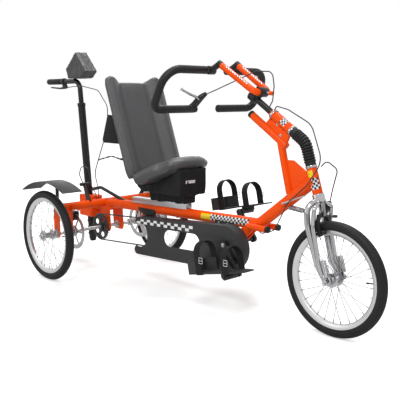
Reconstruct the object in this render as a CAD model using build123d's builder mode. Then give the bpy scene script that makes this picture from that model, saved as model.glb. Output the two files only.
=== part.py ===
"""Adaptive tricycle for one rider, with a clamped handle behind the seat for a helper.

Millimetres. +X is forward, +Y is the rider's left and +Z is up. The origin is at floor level under the middle
of the tricycle's box, so that every station along the tricycle is a distance in front of the rear axle.
"""

import os
from math import atan2, cos, degrees, pi, radians, sin

from build123d import *

# Wheels
wheel_radius = 248
tyre_width = 46
rim_outer_radius = 209
rim_depth = 22
rim_width = 30
tyre_bead_width = 24
wheelbase = 1607
track = 814
spoke_count = 28
spoke_size = 2.4
hub_flange_radius = 30
hub_flange_thickness = 4
hub_barrel_radius = 17

# The handle behind the seat reaches this far behind the rear axle.
grip_reach = 617
rear_axle_x = (grip_reach - wheelbase - wheel_radius) / 2
front_axle_x = rear_axle_x + wheelbase
axle_z = wheel_radius
wheel_y = track / 2

# Clearances
running_gap = 0.3
seat_gap = 0.3

# Backbone: one bent tube from behind the rear axle up to the head tube
backbone_radius = 27
backbone_rear = (rear_axle_x - 313, 0, 323)
backbone_rise = (rear_axle_x + 70, 0, 392)
knee = (rear_axle_x + 1190, 0, 425)

# Front steering axis, through the head tube and the fork's steerer
head_top = (rear_axle_x + 1471, 0, 718)
head_bottom = (rear_axle_x + 1511, 0, 599)
head_radius = 22
steerer_radius = 14.3

# Upper steering axis, through the column tube under the handlebar
column_low = (rear_axle_x + 1376, 0, 852)
column_high = (rear_axle_x + 1256, 0, 930)
column_radius = 21
column_shaft_radius = 14
column_shaft_reach = 120

# Mast, accessory tube and their plates
mast_radius = 17
mast_foot = (rear_axle_x + 1362, 0, 585)
mast_top = (rear_axle_x + 1305, 0, 812)
accessory_low = (rear_axle_x + 1338, 0, 789)
accessory_high = (rear_axle_x + 1141, 0, 918)
accessory_cap_length = 16
accessory_end_length = 74
fit_step = 0.4
gusset_thickness = 6

# Two short tubes at the knee, which take accessories
stub_radius = 15
stub_y = 37
stub_z = 415
stub_rear_x = rear_axle_x + 1150
stub_front_x = rear_axle_x + 1262
stub_end_length = 26
cap_length = 14

# Rear frame
beam_radius = 23
beam_x = rear_axle_x - 8
beam_z = 390
beam_reach = 345
carrier_inner_y = 262
carrier_thickness = 6
carrier_width = 56
axle_radius = 10
bearing_radius = 24
bearing_width = 14
axle_split_y = 207
hanger_thickness = 8
hanger_left_y = 69
hanger_right_y = -22

# Drive
sprocket_y = -50
chain_pitch_radius = 76
chain_height = 9
chain_width = 7
chain_plate = 1.4
sprocket_thickness = 2.4
sprocket_teeth = 38
tooth_height = 2.5
crank_x = rear_axle_x + 1062
crank_z = 322
crank_length = 152
crank_angle = -52
crank_y = 101
crank_thickness = 16
shell_radius = 22
shell_half_width = 34
spindle_radius = 9
pedal_spindle_radius = 6
pedal_spindle_length = 96

# Chain guard, a moulded channel with its web outside the chain
guard_web_y = -88
guard_thickness = 3
guard_flange_depth = 58
guard_front_radius = 109
guard_front = (rear_axle_x + 1050, 300)
guard_rear_x = rear_axle_x + 388
guard_rear_top_z = 361
guard_rear_bottom_z = 158
guard_scoop_x = rear_axle_x + 520
guard_slot_length = 265
guard_slot_width = 86
guard_slot_centre = (rear_axle_x + 748, 290)

# Brake discs
disc_y = 235
disc_radius = 103
disc_inner_radius = 78
disc_thickness = 2.4
disc_gap = 5.2

# Footplates
footplate_length = 340
footplate_width = 104
footplate_thickness = 6
footplate_rise = 20
footplate_heel = 205
footplate_pitch = 12
footplate_gap = 8
heel_cup_height = 58
heel_cup_length = 90
heel_cup_wall = 5

# Seat
seat_recline = 20.5
seat_corner = (rear_axle_x + 478, 0, 590)
back_width = 392
back_height = 560
back_thickness = 72
back_seam_y = 85
back_hollow = 33
cushion_width = 396
cushion_nose_width = 250
cushion_depth = 296
cushion_thickness = 62
cushion_tilt = 22
seat_base_half_width = 92
pedestal_half_width = 40
skirt_low_z = 508
back_rest_height = 300
back_rest_thickness = 12
rail_length = 450
rail_width = 38
rail_height = 26
rail_rear_x = rear_axle_x + 262

# Handle behind the seat
post_foot = (rear_axle_x - 163, 0, 146)
post_collar = (rear_axle_x - 250, 0, 966)
post_radius = 22
bar_z = 1097
bar_radius = 15
grip_radius = 18
grip_length = 145
lever_clamp_gap = 20
block_size = (131, 76, 128)
block_centre = (rear_axle_x - 176, 0, 352)

# Handlebar
yoke_low = (rear_axle_x + 1193, 0, 1022)
yoke_high = (rear_axle_x + 985, 0, 1151)
yoke_low_half_width = 47
yoke_high_half_width = 59
yoke_radius = 15
loop_radius = 18.5
loop_tube_radius = 11
loop_low = (rear_axle_x + 832, 945)
loop_high = (rear_axle_x + 930, 1124)
loop_outer_y = 333
loop_inner_y = 84
loop_top_inner_y = 92
loop_top_bend = 85
loop_low_bend = 45

# Fork
fork_half_width = 60
fork_leg_radius = 13
fork_strut_radius = 9.5
fork_tip_half_width = 52


def from_axle(x):
    """A station along the tricycle, as a distance in front of the rear axle."""
    return rear_axle_x + x


def tube(start, end, radius, bore=0.0, mode=Mode.ADD):
    """A round tube from start to end in the part that is being built."""
    run = Vector(*end) - Vector(*start)
    with BuildSketch(Plane(origin=start, z_dir=run)) as ring:
        Circle(radius)
        if bore:
            Circle(bore, mode=Mode.SUBTRACT)
    extrude(ring.sketch, amount=run.length, mode=mode)


def bent_tube(points, bends, radius, mode=Mode.ADD):
    """A round tube along straight runs that are joined by arcs."""
    with BuildLine() as route:
        FilletPolyline(*points, radius=bends)
    with BuildSketch(Plane(origin=route.line @ 0, z_dir=route.line % 0)) as ring:
        Circle(radius)
    sweep(ring.sketch, path=route.line, mode=mode)


def side_plate(outline, middle_y, thickness, mode=Mode.ADD):
    """A flat plate whose outline lies in the XZ plane."""
    with BuildSketch(Plane.XZ.offset(-middle_y - thickness / 2)) as face:
        Polygon(*outline, align=None)
    extrude(face.sketch, amount=thickness, mode=mode)


def between(start, end, share):
    """A point part of the way from start to end."""
    return tuple(a + (b - a) * share for a, b in zip(start, end))


def finish(builder, name):
    """Labels a finished piece and writes it."""
    builder.part.label = name
    export_step(builder.part, f"parts/{name}.step")


def finish_together(name, *builders):
    """Writes like pieces that don't touch as one node."""
    with BuildPart() as group:
        for builder in builders:
            add(builder.part)
    finish(group, name)


os.makedirs("parts", exist_ok=True)

# Wheels


def make_tyre(x, y):
    """A tyre seated in its rim, with a flat tread and angled shoulders."""
    half = tyre_width / 2
    bead = tyre_bead_width / 2
    seat_radius = rim_outer_radius - 5
    height = wheel_radius - seat_radius
    outline = (
        (-bead, seat_radius),
        (-bead, rim_outer_radius),
        (-half, seat_radius + 0.42 * height),
        (-0.8 * half, seat_radius + 0.8 * height),
        (-0.32 * half, wheel_radius),
        (0.32 * half, wheel_radius),
        (0.8 * half, seat_radius + 0.8 * height),
        (half, seat_radius + 0.42 * height),
        (bead, rim_outer_radius),
        (bead, seat_radius),
    )
    with BuildPart() as tyre:
        with BuildSketch(Plane(origin=(x, y, axle_z), x_dir=(0, 1, 0), z_dir=(1, 0, 0))) as section:
            Polygon(*outline, align=None)
        revolve(section.sketch, axis=Axis((x, y, axle_z), (0, 1, 0)))
    return tyre


def make_wheel(x, y, hub_half_length, bore):
    """Rim, spokes and hub of one wheel."""
    half = rim_width / 2
    bead = tyre_bead_width / 2
    seat_radius = rim_outer_radius - 5
    inner_radius = rim_outer_radius - rim_depth
    rim_outline = (
        (-half, rim_outer_radius),
        (-bead, rim_outer_radius),
        (-bead, seat_radius),
        (bead, seat_radius),
        (bead, rim_outer_radius),
        (half, rim_outer_radius),
        (0.45 * half, inner_radius),
        (-0.45 * half, inner_radius),
    )
    flange_y = hub_half_length - 12
    hub_outline = (
        (-hub_half_length, bore),
        (-hub_half_length, hub_barrel_radius),
        (-flange_y, hub_barrel_radius),
        (-flange_y, hub_flange_radius),
        (-flange_y + hub_flange_thickness, hub_flange_radius),
        (-flange_y + hub_flange_thickness, hub_barrel_radius),
        (flange_y - hub_flange_thickness, hub_barrel_radius),
        (flange_y - hub_flange_thickness, hub_flange_radius),
        (flange_y, hub_flange_radius),
        (flange_y, hub_barrel_radius),
        (hub_half_length, hub_barrel_radius),
        (hub_half_length, bore),
    )
    section_plane = Plane(origin=(x, y, axle_z), x_dir=(0, 1, 0), z_dir=(1, 0, 0))
    with BuildPart() as wheel:
        with BuildSketch(section_plane) as section:
            Polygon(*rim_outline, align=None)
            Polygon(*hub_outline, align=None)
        revolve(section.sketch, axis=Axis((x, y, axle_z), (0, 1, 0)))
        for number in range(spoke_count):
            turn = 2 * pi * number / spoke_count
            side = 1 if number % 2 else -1
            lean = 0.42 if number % 4 < 2 else -0.42
            foot_y = y + side * (flange_y - hub_flange_thickness / 2)
            foot_radius = hub_flange_radius - 3
            foot = Vector(x + foot_radius * cos(turn + lean), foot_y, axle_z + foot_radius * sin(turn + lean))
            top_radius = inner_radius + 3
            top = Vector(x + top_radius * cos(turn), y + side * 2, axle_z + top_radius * sin(turn))
            with BuildSketch(Plane(origin=foot, z_dir=top - foot)) as spoke:
                Rectangle(spoke_size, spoke_size)
            extrude(spoke.sketch, amount=(top - foot).length)
    return wheel


rear_hub_half = 42
front_hub_half = 34
front_axle_radius = 6
for side_name, side in (("right", -1), ("left", 1)):
    finish(make_tyre(rear_axle_x, side * wheel_y), f"tyre_rear_{side_name}")
    finish(make_wheel(rear_axle_x, side * wheel_y, rear_hub_half, axle_radius), f"wheel_rear_{side_name}")
finish(make_tyre(front_axle_x, 0), "tyre_front")
finish(make_wheel(front_axle_x, 0, front_hub_half, front_axle_radius + running_gap), "wheel_front")

# Backbone, cut at the knee where the down tube is welded on
head_axis = (Vector(*head_top) - Vector(*head_bottom)).normalized()
neck = between(head_bottom, head_top, 0.47)
with BuildPart(mode=Mode.PRIVATE) as backbone:
    bent_tube((backbone_rear, backbone_rise, knee, neck), (600, 60), backbone_radius)
main_run = (Vector(*knee) - Vector(*backbone_rise)).normalized()
down_run = (Vector(*neck) - Vector(*knee)).normalized()
knee_plane = Plane(origin=knee, z_dir=main_run + down_run)

# Handle post and the clamp block that holds it to the backbone
post_axis = (Vector(*post_collar) - Vector(*post_foot)).normalized()
with BuildPart() as handle_post:
    tube(post_foot, post_collar, post_radius)
    collar_low = Vector(*post_collar) - post_axis * 18
    tube(collar_low, post_collar, post_radius + 2.5)
    fillet(handle_post.edges().sort_by(Axis.Z)[-1], 2)
    tip_low = Vector(*post_foot) - post_axis * 16
    tube(tip_low, post_foot, post_radius - 3)
    fillet(handle_post.edges().sort_by(Axis.Z)[0], 9)
finish(handle_post, "handle_post")

with BuildPart() as main_tube:
    add(backbone.part)
    split(bisect_by=knee_plane, keep=Keep.BOTTOM)
    tube(post_foot, post_collar, post_radius, mode=Mode.SUBTRACT)
finish(main_tube, "main_tube")

with BuildPart() as down_tube:
    add(backbone.part)
    split(bisect_by=knee_plane, keep=Keep.TOP)
    tube(head_bottom, head_top, head_radius, mode=Mode.SUBTRACT)
finish(down_tube, "down_tube")

with BuildPart() as clamp_block:
    with Locations(block_centre):
        Box(*block_size)
    fillet(clamp_block.edges().filter_by(Axis.Y), 8)
    tube(post_foot, post_collar, post_radius, mode=Mode.SUBTRACT)
    add(main_tube.part, mode=Mode.SUBTRACT)
    bolt_y = block_size[1] / 2
    with Locations(Plane.XZ.offset(bolt_y - block_centre[1])):
        with Locations((block_centre[0], block_centre[2])):
            with GridLocations(block_size[0] - 30, block_size[2] - 26, 2, 2):
                Cylinder(7, 5, align=(Align.CENTER, Align.CENTER, Align.MIN))
finish(clamp_block, "clamp_block")

# Head tube, bored for the fork's steerer
with BuildPart() as head_tube:
    tube(head_bottom, head_top, head_radius, steerer_radius + running_gap)

# Mast, accessory tube, upper steering tube and the plates between them
with BuildPart() as steering_tube:
    tube(column_low, column_high, column_radius, column_shaft_radius + running_gap)
finish_together("steering_tubes", head_tube, steering_tube)

accessory_axis = (Vector(*accessory_high) - Vector(*accessory_low)).normalized()
with BuildPart() as accessory_tube:
    end_start = Vector(*accessory_high) - accessory_axis * accessory_end_length
    tube(accessory_low, end_start, mast_radius - fit_step)
    tube(end_start, accessory_high, mast_radius)

with BuildPart() as accessory_cap:
    cap_end = (Vector(*accessory_high) + accessory_axis * accessory_cap_length)
    tube(accessory_high, cap_end, mast_radius)

with BuildPart() as mast:
    tube(mast_foot, mast_top, mast_radius)
    add(down_tube.part, mode=Mode.SUBTRACT)
    add(accessory_tube.part, mode=Mode.SUBTRACT)
    add(mast.solids().sort_by(SortBy.VOLUME)[-1], mode=Mode.INTERSECT)
finish(mast, "mast")

with BuildPart() as column_bracket:
    side_plate(
        (
            (from_axle(1215), 880),
            (from_axle(1262), 925),
            (from_axle(1366), 858),
            (from_axle(1340), 800),
        ),
        0,
        12,
    )
    tube(column_low, column_high, column_radius, mode=Mode.SUBTRACT)
    add(accessory_tube.part, mode=Mode.SUBTRACT)
    add(mast.part, mode=Mode.SUBTRACT)

with BuildPart() as gusset:
    side_plate(
        (
            (from_axle(1330), 731),
            (from_axle(1381), 731),
            (from_axle(1446), 691),
            (from_axle(1480), 691),
            (from_axle(1480), 645),
            (from_axle(1362), 585),
        ),
        0,
        gusset_thickness,
    )
    tube(head_bottom, head_top, head_radius, mode=Mode.SUBTRACT)
    add(down_tube.part, mode=Mode.SUBTRACT)
    add(mast.part, mode=Mode.SUBTRACT)
finish_together("frame_plates", column_bracket, gusset)

# Rubber bellows over the joint between the two steering axes, with its clamp rings
bellows_corner = (from_axle(1440), 0, 812)
bellows_radius = 21
bellows_rib_radius = 26
rib_count = 10
bellows_points = (column_low, bellows_corner, head_top)
with BuildPart() as bellows:
    with BuildLine() as bellows_line:
        FilletPolyline(*bellows_points, radius=72)
    with BuildSketch(Plane(origin=bellows_line.line @ 0, z_dir=bellows_line.line % 0)) as ring:
        Circle(bellows_radius)
    sweep(ring.sketch, path=bellows_line.line)
    for number in range(rib_count):
        share = 0.13 + 0.76 * number / (rib_count - 1)
        rib_plane = Plane(origin=bellows_line.line @ share, z_dir=bellows_line.line % share)
        with BuildSketch(rib_plane) as rib:
            Circle(bellows_rib_radius)
        extrude(rib.sketch, amount=3.5, both=True)
    add(head_tube.part, mode=Mode.SUBTRACT)
    add(steering_tube.part, mode=Mode.SUBTRACT)
finish(bellows, "bellows")

clamp_ring_width = 10
column_axis = (Vector(*column_high) - Vector(*column_low)).normalized()
with BuildPart() as clamp_rings:
    ring_radius = column_radius + 3
    for start, run in (
        (Vector(*column_low) + column_axis * 4, column_axis),
        (Vector(*column_high) - column_axis * 16, column_axis),
    ):
        tube(start, (start + run * clamp_ring_width), ring_radius, column_radius)
    start = Vector(*head_top) - head_axis * 14
    end = (start + head_axis * clamp_ring_width)
    tube(start, end, head_radius + 3, head_radius)
    add(column_bracket.part, mode=Mode.SUBTRACT)
finish(clamp_rings, "clamp_rings")

# Two short tubes beside the knee, with their caps
with BuildPart() as knee_stubs:
    for side in (-1, 1):
        end_x = stub_front_x - stub_end_length
        tube((stub_rear_x, side * stub_y, stub_z), (end_x, side * stub_y, stub_z), stub_radius - fit_step)
        tube((end_x, side * stub_y, stub_z), (stub_front_x, side * stub_y, stub_z), stub_radius)
    add(backbone.part, mode=Mode.SUBTRACT)
finish_together("accessory_tubes", accessory_tube, knee_stubs)

with BuildPart() as knee_caps:
    for side in (-1, 1):
        start = (stub_front_x, side * stub_y, stub_z)
        tube(start, (stub_front_x + cap_length, side * stub_y, stub_z), stub_radius)
finish_together("tube_caps", accessory_cap, knee_caps)

# Rear beam, carriers and axle bearings
with BuildPart() as rear_beam:
    tube((beam_x, -beam_reach, beam_z), (beam_x, beam_reach, beam_z), beam_radius)
    add(main_tube.part, mode=Mode.SUBTRACT)
finish(rear_beam, "rear_beam")


def carrier_outline(top_z, foot_z):
    """Outline of a plate that hangs from the beam to the axle."""
    half = carrier_width / 2
    return (
        (rear_axle_x - half, foot_z + 12),
        (rear_axle_x - 16, foot_z),
        (rear_axle_x + 16, foot_z),
        (rear_axle_x + half, foot_z + 12),
        (rear_axle_x + half, top_z),
        (rear_axle_x - half, top_z),
    )


def axle_bearing(middle_y, mode=Mode.ADD):
    """A bearing ring round the rear axle."""
    start = (rear_axle_x, middle_y - bearing_width / 2, axle_z)
    end = (rear_axle_x, middle_y + bearing_width / 2, axle_z)
    tube(start, end, bearing_radius, axle_radius + running_gap, mode)


carrier_places = (-beam_reach, -carrier_inner_y, carrier_inner_y, beam_reach)
with BuildPart() as axle_carriers:
    for middle_y in carrier_places:
        side_plate(carrier_outline(beam_z + 12, axle_z - 22), middle_y, carrier_thickness)
        start = (rear_axle_x, middle_y - bearing_width, axle_z)
        end = (rear_axle_x, middle_y + bearing_width, axle_z)
        tube(start, end, bearing_radius, mode=Mode.SUBTRACT)
    add(rear_beam.part, mode=Mode.SUBTRACT)

with BuildPart() as axle_hangers:
    for middle_y in (hanger_left_y, hanger_right_y):
        side_plate(
            (
                (from_axle(-34), axle_z - 14),
                (from_axle(-16), axle_z - 26),
                (from_axle(44), axle_z - 26),
                (from_axle(56), axle_z - 8),
                (from_axle(48), 366),
                (from_axle(-44), 360),
            ),
            middle_y,
            hanger_thickness,
        )
        start = (rear_axle_x, middle_y - bearing_width, axle_z)
        end = (rear_axle_x, middle_y + bearing_width, axle_z)
        tube(start, end, bearing_radius, mode=Mode.SUBTRACT)
    side_plate(
        (
            (from_axle(-44), 340),
            (from_axle(-44), 366),
            (from_axle(48), 374),
            (from_axle(48), 348),
        ),
        (hanger_left_y + hanger_right_y) / 2,
        hanger_left_y - hanger_right_y + hanger_thickness,
    )
    add(main_tube.part, mode=Mode.SUBTRACT)
    add(rear_beam.part, mode=Mode.SUBTRACT)
finish_together("axle_plates", axle_hangers, axle_carriers)

with BuildPart() as axle_bearings:
    for middle_y in (hanger_left_y, hanger_right_y, *carrier_places):
        axle_bearing(middle_y)
finish(axle_bearings, "axle_bearings")

# Axles, sprocket and discs
axle_end_y = wheel_y + rear_hub_half + 6
with BuildPart() as drive_axle:
    tube((rear_axle_x, -axle_end_y, axle_z), (rear_axle_x, axle_split_y, axle_z), axle_radius)
    for low_y, high_y in ((150, 162), (axle_split_y - 14, axle_split_y)):
        tube((rear_axle_x, low_y, axle_z), (rear_axle_x, high_y, axle_z), 19)
finish(drive_axle, "drive_axle")

with BuildPart() as stub_axle:
    tube((rear_axle_x, axle_split_y + 4, axle_z), (rear_axle_x, axle_end_y, axle_z), axle_radius)
finish(stub_axle, "stub_axle")

calipers = []
for side_name, side in (("right", -1), ("left", 1)):
    with BuildPart() as disc:
        with BuildSketch(Plane.XZ.offset(-side * disc_y - disc_thickness / 2)) as face:
            with Locations((rear_axle_x, axle_z)):
                Circle(disc_radius)
                Circle(disc_inner_radius, mode=Mode.SUBTRACT)
                Circle(32)
                with PolarLocations(55, 6):
                    Rectangle(56, 11)
        extrude(face.sketch, amount=disc_thickness)
        hub_start = (rear_axle_x, side * (disc_y - 10), axle_z)
        hub_end = (rear_axle_x, side * (disc_y + 10), axle_z)
        tube(hub_start, hub_end, 22)
        tube(hub_start, hub_end, axle_radius, mode=Mode.SUBTRACT)
    finish(disc, f"disc_{side_name}")
    with BuildPart() as caliper:
        with Locations((from_axle(-8), side * disc_y, axle_z + 88)):
            Box(56, 44, 52)
        fillet(caliper.edges().filter_by(Axis.Y), 10)
        with Locations((from_axle(-8), side * disc_y, axle_z + 80)):
            Box(80, disc_thickness + 2 * disc_gap, 60, mode=Mode.SUBTRACT)
        bracket_y = side * (disc_y + carrier_inner_y) / 2
        bracket_depth = carrier_inner_y - disc_y - carrier_thickness
        with Locations((from_axle(-8), bracket_y, axle_z + 100)):
            Box(24, bracket_depth, 18)
        add(disc.part, mode=Mode.SUBTRACT)
    calipers.append(caliper)
finish_together("brake_calipers", *calipers)


def make_chainwheel(x, z, bore):
    """A toothed wheel of the chain, with a ring of openings."""
    root_radius = chain_pitch_radius - chain_height / 2 - 1
    tip_radius = root_radius + tooth_height + 1.5
    with BuildPart() as chainwheel:
        with BuildSketch(Plane.XZ.offset(-sprocket_y - sprocket_thickness / 2)) as face:
            with Locations((x, z)):
                Circle(root_radius)
                with PolarLocations(root_radius, sprocket_teeth):
                    Rectangle(2 * (tip_radius - root_radius), 4)
                with PolarLocations(46, 5):
                    Circle(15, mode=Mode.SUBTRACT)
        extrude(face.sketch, amount=sprocket_thickness)
        start = (x, sprocket_y - 7, z)
        end = (x, sprocket_y + 7, z)
        tube(start, end, 24)
        tube(start, end, bore, mode=Mode.SUBTRACT)
    return chainwheel


finish(make_chainwheel(rear_axle_x, axle_z, axle_radius), "sprocket")
finish(make_chainwheel(crank_x, crank_z, spindle_radius), "chainring")

# Chain, whose plates run each side of the teeth
chain_run = Vector(crank_x - rear_axle_x, 0, crank_z - axle_z)
chain_slope = degrees(atan2(chain_run.Z, chain_run.X))
chain_plane = Plane(origin=(rear_axle_x, 0, axle_z), x_dir=chain_run, z_dir=(0, -1, 0))


def chain_band(outer, inner, low_y, high_y, mode=Mode.ADD):
    """A closed band round both toothed wheels, between two planes of Y."""
    with BuildSketch(chain_plane.offset(-high_y)) as face:
        with Locations((chain_run.length / 2, 0)):
            SlotCenterToCenter(chain_run.length, 2 * outer)
            SlotCenterToCenter(chain_run.length, 2 * inner, mode=Mode.SUBTRACT)
    extrude(face.sketch, amount=high_y - low_y, mode=mode)


with BuildPart() as chain:
    outer = chain_pitch_radius + chain_height / 2
    inner = chain_pitch_radius - chain_height / 2
    low_y = sprocket_y - chain_width / 2
    high_y = sprocket_y + chain_width / 2
    chain_band(outer, inner, low_y, low_y + chain_plate)
    chain_band(outer, inner, high_y - chain_plate, high_y)
    with BuildSketch(chain_plane.offset(-high_y + chain_plate)) as core:
        for run_side in (-1, 1):
            with Locations((chain_run.length / 2, run_side * chain_pitch_radius)):
                Rectangle(chain_run.length - 40, 5)
    extrude(core.sketch, amount=chain_width - 2 * chain_plate)
finish(chain, "chain")

# Brace from the handle post over the beam to the backbone
with BuildPart() as brace_tube:
    bent_tube(
        ((from_axle(-186), 0, 443), (from_axle(-65), 0, 470), (from_axle(175), 0, 412)),
        60,
        10,
    )
    tube(post_foot, post_collar, post_radius, mode=Mode.SUBTRACT)
    add(main_tube.part, mode=Mode.SUBTRACT)
finish(brace_tube, "brace_tube")

# Steering damper under the down tube: a spring unit and a thin guide rod
with BuildPart() as steering_damper:
    tube((from_axle(1352), 0, 526), (from_axle(1442), 0, 518), 9)
    tube((from_axle(1352), -34, 544), (from_axle(1468), -34, 590), 3.5)
    tube((from_axle(1352), -38, 545), (from_axle(1352), 8, 545), 5)
    add(down_tube.part, mode=Mode.SUBTRACT)
finish(steering_damper, "steering_damper")

# Parking brake lever on the beam, and the helper's brake lever under the grip
with BuildPart() as parking_lever:
    side_plate(
        (
            (from_axle(-30), 404),
            (from_axle(14), 408),
            (from_axle(-8), 440),
            (from_axle(-46), 506),
            (from_axle(-66), 500),
        ),
        -125,
        6,
    )
    tube((from_axle(-56), -150, 501), (from_axle(-56), -92, 501), 10)
    add(rear_beam.part, mode=Mode.SUBTRACT)
finish(parking_lever, "parking_lever")

# Chain guard
guard_front_x, guard_front_z = guard_front
guard_top_angle = 4
with BuildPart() as chain_guard:
    with BuildSketch(Plane.XZ.offset(-guard_web_y)) as web:
        with BuildLine():
            front_top = (
                guard_front_x - guard_front_radius * sin(radians(guard_top_angle)),
                guard_front_z + guard_front_radius * cos(radians(guard_top_angle)),
            )
            front_bottom = (
                guard_front_x + guard_front_radius * sin(radians(3)),
                guard_front_z - guard_front_radius * cos(radians(3)),
            )
            front_tip = (guard_front_x + guard_front_radius, guard_front_z)
            Line((guard_rear_x, guard_rear_top_z), front_top)
            ThreePointArc(front_top, front_tip, front_bottom)
            Line(front_bottom, (guard_rear_x + 8, guard_rear_bottom_z))
            ThreePointArc(
                (guard_rear_x + 8, guard_rear_bottom_z),
                (guard_rear_x - 22, guard_rear_bottom_z + 20),
                (guard_rear_x - 2, guard_rear_bottom_z + 48),
            )
            ThreePointArc(
                (guard_rear_x - 2, guard_rear_bottom_z + 48),
                (guard_scoop_x - 42, axle_z + 26),
                (guard_rear_x - 18, guard_rear_top_z - 30),
            )
            Line((guard_rear_x - 18, guard_rear_top_z - 30), (guard_rear_x, guard_rear_top_z))
        make_face()
    extrude(web.sketch, amount=-guard_flange_depth)
    with BuildSketch(Plane.XZ.offset(-guard_web_y - guard_thickness)) as hollow:
        add(web.sketch.moved(Location((0, guard_thickness, 0))))
        offset(amount=-guard_thickness)
    extrude(hollow.sketch, amount=-guard_flange_depth, mode=Mode.SUBTRACT)
    with BuildSketch(Plane.XZ.offset(-guard_web_y)) as slot:
        with Locations(guard_slot_centre):
            SlotOverall(guard_slot_length, guard_slot_width, rotation=3)
        with Locations((crank_x, crank_z)):
            Circle(spindle_radius + 6)
    extrude(slot.sketch, amount=-guard_thickness, mode=Mode.SUBTRACT)
    rear_mouth = (guard_rear_x + 20, guard_web_y + guard_flange_depth / 2 + guard_thickness, axle_z + 20)
    with Locations(rear_mouth):
        Box(300, guard_flange_depth, 176, mode=Mode.SUBTRACT)
finish(chain_guard, "chain_guard")

# Bottom bracket shell and its plates under the backbone
with BuildPart() as crank_shell:
    tube(
        (crank_x, -shell_half_width, crank_z),
        (crank_x, shell_half_width, crank_z),
        shell_radius,
        spindle_radius + running_gap,
    )
    for plate_side in (-1, 1):
        side_plate(
            (
                (crank_x - 14, crank_z + 14),
                (crank_x + 18, crank_z - 10),
                (from_axle(1176), 404),
                (from_axle(1110), 415),
            ),
            plate_side * 16,
            8,
        )
    tube(
        (crank_x, -shell_half_width, crank_z),
        (crank_x, shell_half_width, crank_z),
        spindle_radius + running_gap,
        mode=Mode.SUBTRACT,
    )
    add(main_tube.part, mode=Mode.SUBTRACT)
    add(down_tube.part, mode=Mode.SUBTRACT)
finish(crank_shell, "crank_shell")

# Brackets between the backbone and the chain guard
guard_flange_y = guard_web_y + guard_flange_depth
with BuildPart() as guard_brackets:
    with Locations((from_axle(990), guard_flange_y + 5, 403)):
        Box(120, 10, 22)
    side_plate(
        (
            (from_axle(418), 352),
            (from_axle(330), 384),
            (from_axle(330), 402),
            (from_axle(470), 404),
            (from_axle(470), 352),
        ),
        guard_flange_y + 5,
        10,
    )
    add(main_tube.part, mode=Mode.SUBTRACT)
    add(chain_guard.part, mode=Mode.SUBTRACT)
finish(guard_brackets, "guard_brackets")

# Cranks and pedals
crank_turn = radians(crank_angle)
pedal_points = {
    "right": (crank_x + crank_length * cos(crank_turn), -1, crank_z + crank_length * sin(crank_turn)),
    "left": (crank_x - crank_length * cos(crank_turn), 1, crank_z - crank_length * sin(crank_turn)),
}
with BuildPart() as cranks:
    tube((crank_x, -crank_y - 6, crank_z), (crank_x, crank_y + 6, crank_z), spindle_radius)
    for x, side, z in pedal_points.values():
        arm = Vector(x - crank_x, 0, z - crank_z)
        arm_root = (crank_x, side * (crank_y - crank_thickness / 2), crank_z)
        arm_plane = Plane(origin=arm_root, x_dir=arm, z_dir=(0, side, 0))
        with BuildSketch(arm_plane) as outline:
            Circle(18)
            with Locations((crank_length, 0)):
                Circle(14)
            make_hull()
        extrude(outline.sketch, amount=crank_thickness)
        start = (x, side * crank_y, z)
        end = (x, side * (crank_y + crank_thickness / 2 + pedal_spindle_length), z)
        tube(start, end, pedal_spindle_radius)
finish(cranks, "cranks")

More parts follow.
